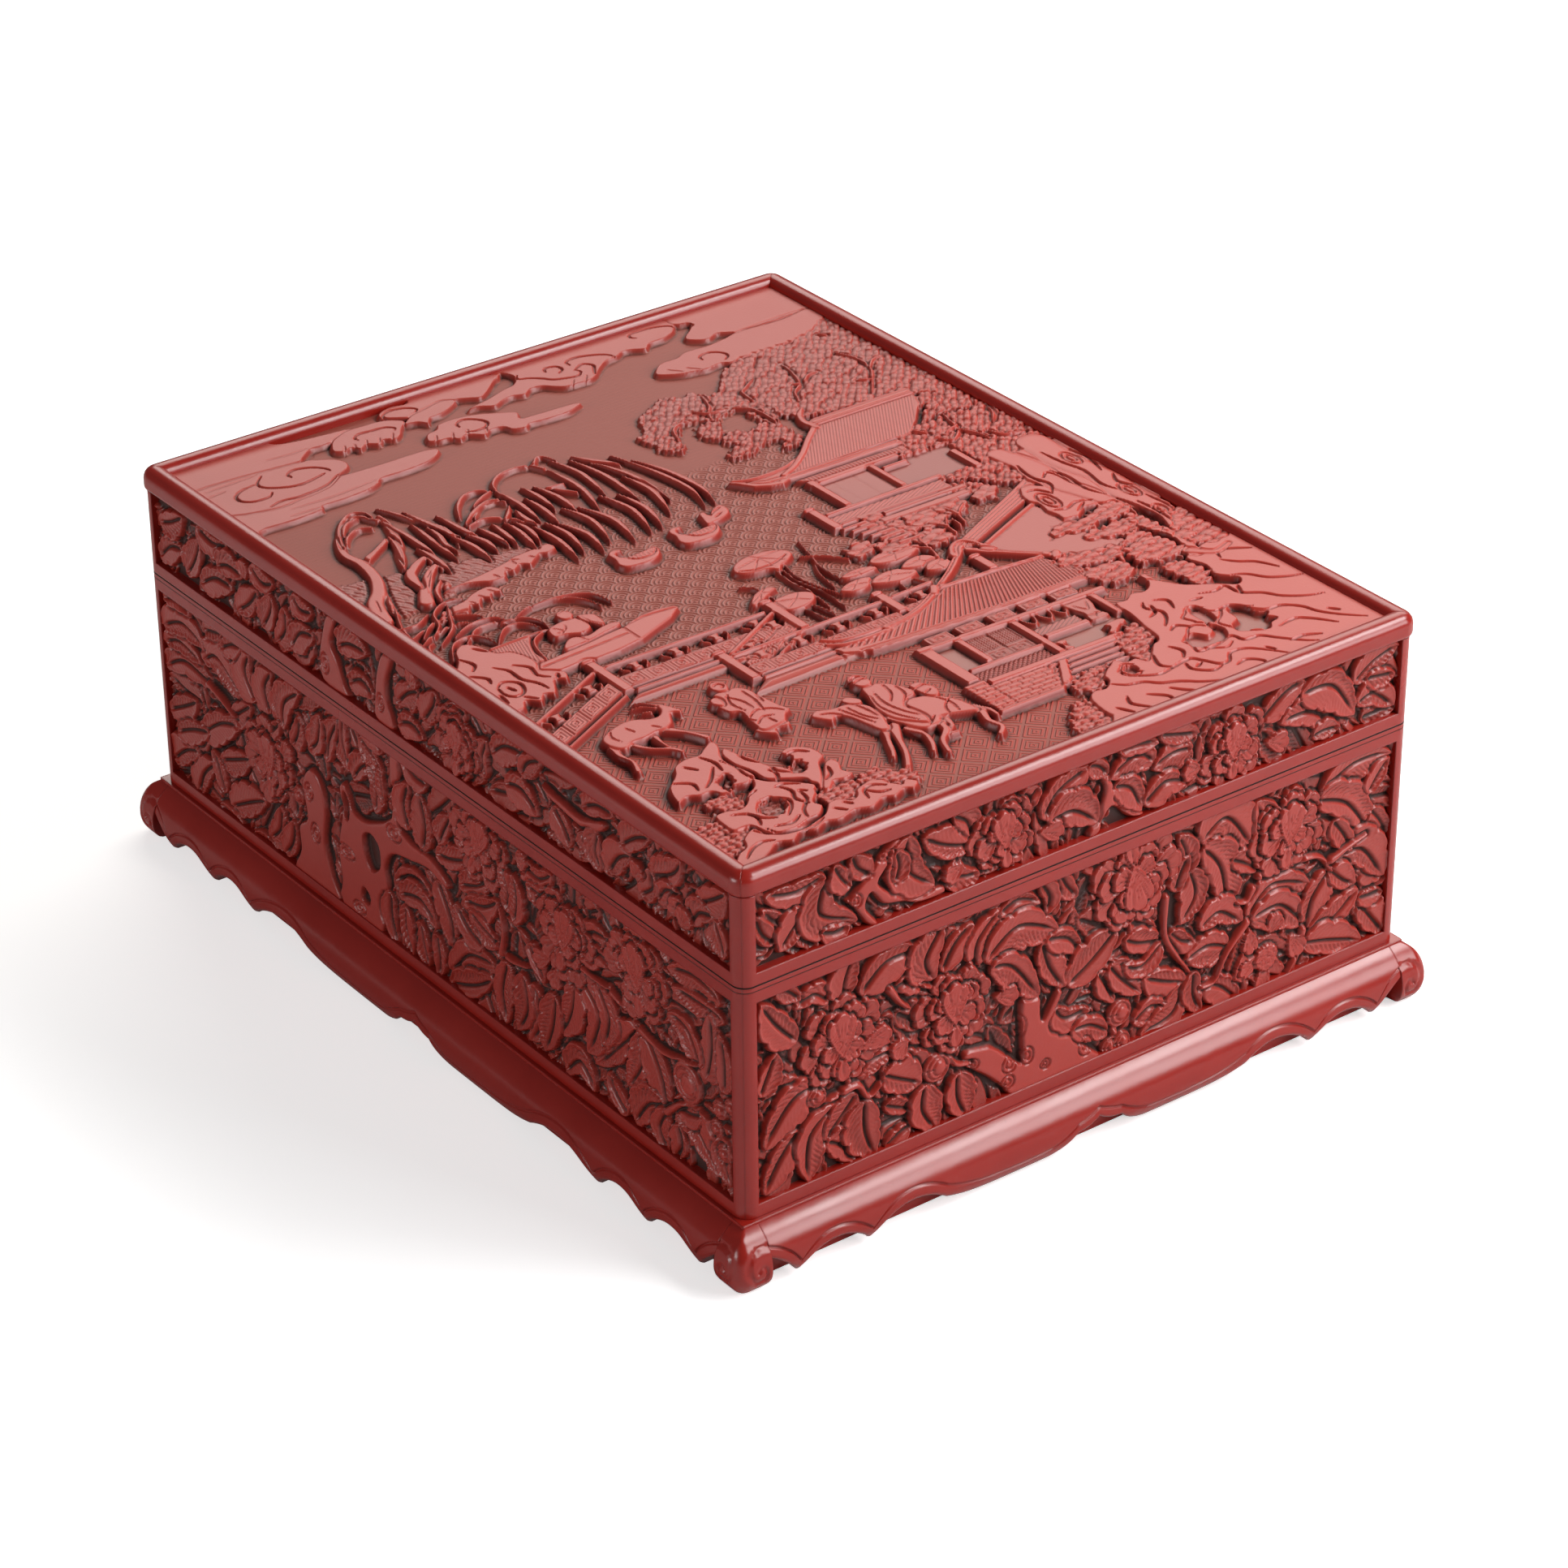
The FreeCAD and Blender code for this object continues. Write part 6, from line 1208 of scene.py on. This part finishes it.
def makeDiaper(tree):
    # the key diaper of the land: lozenges of nested lines, 0 in the grooves and more on the fillets
    field = add(tree, "ShaderNodeUVMap", {"uv_map": "FieldMm"}).outputs[0]
    turned = add(tree, "ShaderNodeVectorRotate", {"rotation_type": "Z_AXIS", "Angle": math.radians(45)},
                 {"Vector": field})
    apart = add(tree, "ShaderNodeSeparateXYZ", None, {0: turned.outputs[0]}).outputs
    nest = maths(tree, "MAXIMUM", *[maths(tree, "PINGPONG", apart[axis], lozenge["side"] / 2) for axis in (0, 1)])
    line = lozenge["line"]
    crisp = remap(tree, maths(tree, "PINGPONG", nest, line / 2), fromMin=line * 0.18, fromMax=line * 0.34, toMax=0.7)
    return maths(tree, "MULTIPLY", crisp, layer(tree, "land"))


def makeCarvedLacquer(name, shades, dustAndShadeStrength, sheen, flank=None):
    # carved cinnabar lacquer: tops paler for wear and with a painted sheen, painted shade on steep flanks where
    # asked, and brown dust mixed with painted shade in the cuts
    material, tree, shader, place = newMaterial(name)
    height, cavity = layer(tree, "height"), layer(tree, "cavity")
    recess, middle, top = shades
    ramp = add(tree, "ShaderNodeValToRGB", None, {"Fac": height})
    stops = ramp.color_ramp.elements
    stops[0].position, stops[0].color = 0.06, linear(recess)
    stops[1].position, stops[1].color = 0.92, linear(top)
    for position, colour in ((0.14, recess), (0.36, middle)):
        stops.new(position).color = linear(colour)
    shade = ramp.outputs["Color"]
    # steep flanks mixed toward a deep red as painted shade
    if flank:
        shade = mixed(tree, maths(tree, "MULTIPLY", layer(tree, "flank"), 0.8), shade, flank)
    # the cavity paints dust together with painted shade into the cuts
    spread = maths(tree, "MULTIPLY_ADD", cavity, dustAndShadeStrength, -0.06)
    patchy = maths(tree, "MULTIPLY_ADD", noise(tree, place, 5, 5.0), 0.25, spread)
    dustAndShadeMask = remap(tree, patchy, fromMin=0.12, fromMax=0.42, toMax=0.95)
    grooves = makeDiaper(tree)
    low = remap(tree, height, fromMin=0.08, fromMax=0.2, toMin=lacquer["roughGround"], toMax=0.0)
    grain = bumped(tree, noise(tree, place, 0.8, 3.0), 0.3, 0.12)
    feed(tree, shader, {
        "Base Color": mixed(tree, grooves, mixed(tree, dustAndShadeMask, shade, lacquer["dustAndShade"]), top),
        "Roughness": maths(tree, "MAXIMUM", remap(tree, dustAndShadeMask, toMin=sheen, toMax=0.75), low),
        "Normal": bumped(tree, grooves, 0.9, 0.35, grain),
    })
    shader.inputs["IOR"].default_value = lacquer["refraction"]
    return material


def makeBlackLacquer():
    # plain black lacquer, brushed and left unpolished inside: dark with a faint brown wear
    material, tree, shader, place = newMaterial("brushedBlackLacquer")
    cloudy = noise(tree, place, 40, 5.0)
    feed(tree, shader, {"Base Color": mixed(tree, cloudy, lacquer["black"], lacquer["blackWorn"]),
                        "Roughness": remap(tree, cloudy, toMin=0.22, toMax=0.45)})
    return material


def makeCoreWood():
    # sawn cypress core boards, hidden under the lacquer: straight pale grain, their edges brushed black
    material, tree, shader, place = newMaterial("sawnCypress")
    squeeze = add(tree, "ShaderNodeMapping", {"Scale": (1.0, 0.08, 1.0)}, {"Vector": place})
    grain = noise(tree, squeeze.outputs[0], 2, 4.0)
    facing = add(tree, "ShaderNodeSeparateXYZ", None, {0: add(tree, "ShaderNodeNewGeometry").outputs["Normal"]})
    mouth = maths(tree, "COMPARE", facing.outputs[2], 0.0, 0.5)
    feed(tree, shader, {"Base Color": mixed(tree, mouth, lacquer["black"], mixed(tree, grain, *cypress["shades"]))})
    shader.inputs["Roughness"].default_value = cypress["rough"]
    return material


# Camera, light and floor

studio = {
    "cameraPlace": (-0.8990, -1.2211, 0.9257),   # m, fitted to the corners of the seam, rim and base
    "cameraAzimuth": 36.675,                     # degrees to the right of the box's depth
    "cameraDown": 29.898,
    "cameraRoll": -0.475,
    "cameraLens": 109.72,                        # mm on a 36 mm sensor
    "surround": 0.1,                             # what the pale surround adds to the lamps
    "lamps": (                                   # name, place, target and size in m, power in W, colour
        ("backSoftbox", (1.35, 1.25, 1.4), (0.05, 0, 0.1), (2.3, 1.1), 29, "#FFFBF4"),
        ("frontSoftbox", (1.1, -1.8, 1.0), (0, 0, 0.08), (1.2, 0.85), 25.5, "#FFFFFF"),
        ("topSoftbox", (0.9, -0.75, 1.2), (0.2, -0.35, 0), (1.0, 0.4), 18, "#FFFFFF"),
        ("leftSoftbox", (-2.0, 0.1, 0.5), (0, 0, 0.08), (0.9, 0.5), 11, "#FFFFFF"),
    ),
    "paper": "#F2F2F2",
    "paperUnseen": "#E2E2E2",                    # what the box mirrors of it
    "paperGlow": 0.62,
    "paperReach": 6,                             # m
}


def makeCamera():
    azimuth, down, roll = (math.radians(studio[key]) for key in ("cameraAzimuth", "cameraDown", "cameraRoll"))
    ahead = Vector((math.sin(azimuth) * math.cos(down), math.cos(azimuth) * math.cos(down), -math.sin(down)))
    right = Vector((math.cos(azimuth), -math.sin(azimuth), 0))
    up = right.cross(ahead)
    right, up = (math.cos(roll) * right + math.sin(roll) * up, math.cos(roll) * up - math.sin(roll) * right)
    turn = Matrix((right, up, -ahead)).transposed().to_4x4()
    data = bpy.data.cameras.new("studioCamera")
    data.lens = studio["cameraLens"]
    data.sensor_width = 36
    data.clip_end = 50
    camera = bpy.data.objects.new("studioCamera", data)
    camera.matrix_world = Matrix.Translation(studio["cameraPlace"]) @ turn
    bpy.context.scene.collection.objects.link(camera)
    bpy.context.scene.camera = camera


def makeLamp(name, spot, target, size, power, colour):
    data = bpy.data.lights.new(name, "AREA")
    data.color = linear(colour)[:3]
    data.shape = "RECTANGLE"
    data.size, data.size_y = size
    data.energy = power
    lamp = bpy.data.objects.new(name, data)
    lamp.location = spot
    lamp.rotation_euler = (Vector(target) - Vector(spot)).to_track_quat("-Z", "Y").to_euler()
    bpy.context.scene.collection.objects.link(lamp)


def splitView(tree, unseen, seen, output):
    # one shader for what the camera sees and one for what lights and mirrors
    path = add(tree, "ShaderNodeLightPath").outputs
    both = add(tree, "ShaderNodeMixShader", None,
               {0: path["Is Camera Ray"], 1: unseen.outputs[0], 2: seen.outputs[0]})
    feed(tree, output, {"Surface": both.outputs[0]})


def makeStudio():
    # the lamps, a pale surround, and white paper that looks bright to the camera only
    scene = bpy.context.scene
    scene.view_settings.view_transform = "Standard"
    world = bpy.data.worlds.new("paleStudio")
    scene.world = world
    world.use_nodes = True
    tree = world.node_tree
    background = tree.nodes["Background"]
    background.inputs["Strength"].default_value = studio["surround"]
    background.inputs["Color"].default_value = (1, 1, 1, 1)
    white = add(tree, "ShaderNodeBackground", {"Color": (1, 1, 1, 1), "Strength": 1.0})
    splitView(tree, background, white, tree.nodes["World Output"])
    for lamp in studio["lamps"]:
        makeLamp(*lamp)
    reach = studio["paperReach"]
    floorMesh = bpy.data.meshes.new("studioFloor")
    floorMesh.from_pydata([(-reach, -reach, 0), (reach, -reach, 0), (reach, reach, 0), (-reach, reach, 0)], [],
                          [(0, 1, 2, 3)])
    floor = bpy.data.objects.new("studioFloor", floorMesh)
    scene.collection.objects.link(floor)
    material, tree, shader, _ = newMaterial("whiteSeamlessPaper")
    shader.inputs["Base Color"].default_value = linear(studio["paper"])
    shader.inputs["Roughness"].default_value = 0.9
    glow = add(tree, "ShaderNodeEmission", {"Strength": studio["paperGlow"]})
    bright = add(tree, "ShaderNodeAddShader", None, {0: shader.outputs[0], 1: glow.outputs[0]})
    dim = add(tree, "ShaderNodeBsdfDiffuse", {"Color": linear(studio["paperUnseen"])})
    splitView(tree, dim, bright, tree.nodes["Material Output"])
    paint(floor, material)


# The reliefs

panels = {
    "finePitch": 0.45,     # mm between the points of a panel that is seen close
    "coarsePitch": 0.6,
    "lidPitch": 0.42,
}

turns = {
    "front": ((1, 0, 0), (0, -1, 0)),
    "right": ((0, 1, 0), (1, 0, 0)),
    "back": ((-1, 0, 0), (0, 1, 0)),
    "left": ((0, -1, 0), (-1, 0, 0)),
}


def makeSidePanel(node, side, seed, pitch, columns, material, scene, mirror):
    low, high = (np.array(corner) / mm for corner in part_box(node))
    along, outward = (np.array(a, float) for a in turns[side])
    centre = (low + high) / 2
    width = abs((high - low) @ along)
    depth = abs((high - low) @ outward)
    work = Carving(width, high[2] - low[2], pitch)
    carveFoliage(work, scene, centre[2] - wallFoot, mirror, seed)
    origin = centre - outward * depth / 2
    body = "cover" if node.startswith("cover") else "box"
    reliefTiles(node + "_relief", work, depth, origin, (along, (0, 0, 1), outward), columns, 1, body, material, node)
    print("carved", node, work.top.shape)


# Plinth: moulded aprons with a cusped edge and an incised line along it, and scroll feet

plinth = {
    "section": "1.5,23.1 7.8,18.3 11,9|11,9 10,4 6.5,0",    # out from the wall and up, mm, as arcs of three points
    "grooveWidth": 1.5,
    "grooveDepth": 0.75,
    "stripSink": 0.45,         # the strip under the line lies lower
    "edgeRound": 0.9,
    "footLength": 14,
    "belly": 11,               # how far the section comes out
    "volute": "0,16.6 4.5,16.9 8,14.5 8.6,10 6.6,5.6 3,5.2 2,8.4 3.8,10.6 5.6,9",     # along from the end, and up
}

# along from the middle, height of the edge, height of the line: arcs of three points that share their ends
frontEdge = ("0,11,14.5 4.3,8.7,12.9 9.7,7.9,11.6 15.6,3.5,8.6 21.3,1.2,6.8 33.4,1,6.3 45.4,1.2,6.8 56.8,2.6,8"
             " 66.7,5.5,10.8 85.2,9.9,14.5 98.5,1.4,6.8 113.6,9.2,13.6 128.5,1.4,6.8 135.6,9.2,14.2 142,13.2,16.6")
sideEdge = ("0,11,14.5 4.2,8.7,12.9 9.5,7.9,11.6 15.5,3.5,8.6 20.9,1.2,6.8 32.8,1,6.3 45.5,1.2,6.8 60,2.6,8"
            " 71,5.5,10.8 92.8,9.9,14.5 111,1.4,6.8 125.4,9.2,13.6 139.8,1.4,6.8 154.7,9.2,13.6 169.6,1.4,6.8"
            " 176.2,8.9,14.2 182,13.2,16.6")


def arcThrough(start, middle, end, steps=14):
    (ax, ay), (bx, by), (cx, cy) = start, middle, end
    a, b, c = ax ** 2 + ay ** 2, bx ** 2 + by ** 2, cx ** 2 + cy ** 2
    twice = 2 * (ax * (by - cy) + bx * (cy - ay) + cx * (ay - by))
    ux = (a * (by - cy) + b * (cy - ay) + c * (ay - by)) / twice
    uy = (a * (cx - bx) + b * (ax - cx) + c * (bx - ax)) / twice
    angles = np.unwrap([math.atan2(y - uy, x - ux) for x, y in (start, middle, end)])
    sweep = np.linspace(angles[0], angles[2], steps)
    radius = math.hypot(ax - ux, ay - uy)
    return np.stack([ux + radius * np.cos(sweep), uy + radius * np.sin(sweep)], -1)


def plinthSection():
    rows = [arcThrough(*spots(arc)) for arc in rowsOf(plinth["section"])]
    points = np.concatenate([rows[0], rows[1][1:]])
    steps = np.hypot(*np.diff(points, axis=0).T)
    return points, np.concatenate([[0], np.cumsum(steps)])


def edgeHeights(chain, along):
    # heights of the lower edge and of the line at these places
    heights = []
    for column in (1, 2):
        flat = [(spot[0], spot[column]) for spot in chain]
        line = np.concatenate([arcThrough(*flat[k:k + 3]) for k in range(0, len(flat) - 2, 2)])
        heights.append(np.interp(np.abs(along), line[:, 0], line[:, 1]))
    return heights


def moulding(name, edge, line, plan, replaced, groove=None):
    # a strip of the plinth: one closed section at every place along it, out and up from the wall's foot
    points, lengths = plinthSection()
    atHeight = lambda z: np.interp(-z, -points[:, 1], lengths)
    low, mark = atHeight(edge)[:, None], atHeight(line)[:, None]
    half = plinth["grooveWidth"] / 2
    above = np.linspace(0, 0.97, 18)[None]
    cut = np.linspace(-1, 1, 9)[None]
    strip = np.linspace(0.12, 1, 8)[None]
    run = np.concatenate([(mark - half) * above, mark + half * cut,
                          mark + half + np.maximum(low - mark - half, 0.3) * strip], 1)
    out = np.interp(run, lengths, points[:, 0])
    up = np.interp(run, lengths, points[:, 1])
    if groove is None:
        sunk = plinth["grooveDepth"] * (1 - cut ** 2) + plinth["stripSink"] * (cut + 1) / 2
        rounded = plinth["stripSink"] + plinth["edgeRound"] * np.clip((strip - 0.6) / 0.4, 0, 1) ** 2
        out = out - np.concatenate([0 * above, sunk, rounded], 1)
    else:
        out -= groove(up) + 0.8 * np.clip(1 - (up - edge[:, None]) / 1.2, 0, 1) ** 2
    inner = np.full((len(edge), 1), points[0, 0])
    out = np.concatenate([out, inner, inner], 1)
    up = np.concatenate([up, edge[:, None], np.full((len(edge), 1), points[0, 1])], 1)
    columns, rows = out.shape
    verts = np.array([plan(k, out[k, r]) + (up[k, r],) for k in range(columns) for r in range(rows)])
    faces = [(k * rows + r, k * rows + (r + 1) % rows, (k + 1) * rows + (r + 1) % rows, (k + 1) * rows + r)
             for k in range(columns - 1) for r in range(rows)]
    faces += [tuple(range(rows - 1, -1, -1)), tuple((columns - 1) * rows + r for r in range(rows))]
    mesh = bpy.data.meshes.new(name)
    mesh.from_pydata((verts * mm).tolist(), [], faces)
    mesh.polygons.foreach_set("use_smooth", np.ones(len(faces), bool))
    mesh.set_sharp_from_angle(angle=math.radians(38))
    addPiece(name, mesh, polished, "box", replaced)


def makePlinth():
    halfX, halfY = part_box("front_lacquer")[1][0] / mm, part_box("right_lacquer")[1][1] / mm
    overhang = plinth["belly"] - plinth["footLength"]
    for side, (along, outward) in turns.items():
        wide = side in ("front", "back")
        half, wall = (halfX, halfY) if wide else (halfY, halfX)
        chain = spots(frontEdge if wide else sideEdge)
        reach = half + overhang
        cusps = [spot[0] for spot in chain[:-1:2]]
        spread = np.unique(np.concatenate([np.linspace(-reach, reach, int(reach * 1.6)), cusps, [-c for c in cusps]]))
        edge, line = edgeHeights(chain, spread)
        plan = lambda k, out: tuple((np.array(along[:2]) * spread[k] + np.array(outward[:2]) * (wall + out)).tolist())
        moulding("apron_%s_moulded" % side, edge, line, plan, "apron_" + side)
    straight, bend = np.linspace(0, 1, 20), np.linspace(0, 1, 12)[1:-1]
    share = np.concatenate([straight, 1 + bend, 3 - straight[::-1]])
    local = np.minimum(share, 3 - share)
    distance = np.where(local <= 1, local * 8.0, 8.0 + 4 * (local - 1))
    toe = 3.0
    edge = toe - np.sqrt(np.clip(toe ** 2 - np.clip(toe - distance, 0, toe) ** 2, 0, None))
    curl = smoothLine(spots(plinth["volute"]))

    def plan(k, out):
        # out at a place round the corner: along one side, round the bend, along the other side
        turn = max(out - 5, 0.8)
        cx, cy = halfX + out - turn, halfY + out - turn
        s = share[k]
        if s <= 1:
            x, y = halfX + overhang + (cx - halfX - overhang) * s, cy + turn
        elif s < 2:
            angle = math.radians(90 * (2 - s))
            x, y = cx + turn * math.cos(angle), cy + turn * math.sin(angle)
        else:
            x, y = cx + turn, halfY + overhang + (cy - halfY - overhang) * (3 - s)
        return signX * x, signY * y

    def scroll(up):
        _, side, _ = followLine(curl, np.broadcast_to(distance[:, None], up.shape), up)
        return plinth["grooveDepth"] * np.clip(1 - (side / 0.8) ** 2, 0, 1)

    for signX, signY, name in ((1, -1, "front_right"), (1, 1, "back_right"), (-1, 1, "back_left"),
                               (-1, -1, "front_left")):
        moulding("foot_%s_scroll" % name, edge, np.full(len(share), 8.0), plan, "foot_" + name, scroll)
    print("plinth moulded")


makeCamera()
makeStudio()
polished = makePolishedLacquer()
sideLacquer = makeCarvedLacquer("carvedCinnabarLacquer", lacquer["sides"], 1.45, lacquer["roughSides"])
lidLacquer = makeCarvedLacquer("carvedCinnabarLid", lacquer["lid"], 0.8, lacquer["roughLid"], lacquer["lidFlankShade"])
blackLacquer = makeBlackLacquer()
coreWood = makeCoreWood()
for name, node in nodes.items():
    if name.endswith("lining") or name.startswith("lip_") or name == "underside_lacquer":
        paint(node, blackLacquer)
    elif name.endswith("board"):
        paint(node, coreWood)
    else:
        paint(node, polished)

makePlinth()
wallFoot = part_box("front_lacquer")[0][2] / mm
fine, coarse = panels["finePitch"], panels["coarsePitch"]
for prefix, firstSeed, closeColumns, scenes in (("", 1, 2, (frontScene, leftScene)),
                                                ("cover_", 5, 1, (coverFrontScene, coverLeftScene))):
    for k, side in enumerate(("front", "left", "back", "right")):
        # the front and left are seen close; the back and right repeat their designs, mirrored
        seen = k < 2
        makeSidePanel(prefix + side + "_carving", side, firstSeed + k, fine if seen else coarse,
                      closeColumns if seen else 1, sideLacquer, scenes[k % 2], 1 if seen else -1)

lidLow, lidHigh = (np.array(corner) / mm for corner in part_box("lid_carving"))
lidWork = Carving(lidHigh[0] - lidLow[0], lidHigh[1] - lidLow[1], panels["lidPitch"], 0.15, 2.5)
carveLid(lidWork, lidHigh[2] - lidLow[2])
print("carved the lid", lidWork.top.shape)
reliefTiles("lid_relief", lidWork, lidHigh[2] - lidLow[2], (0, 0, lidLow[2]), np.eye(3), 2, 4, "cover", lidLacquer,
            "lid_carving")

print("reliefs done")
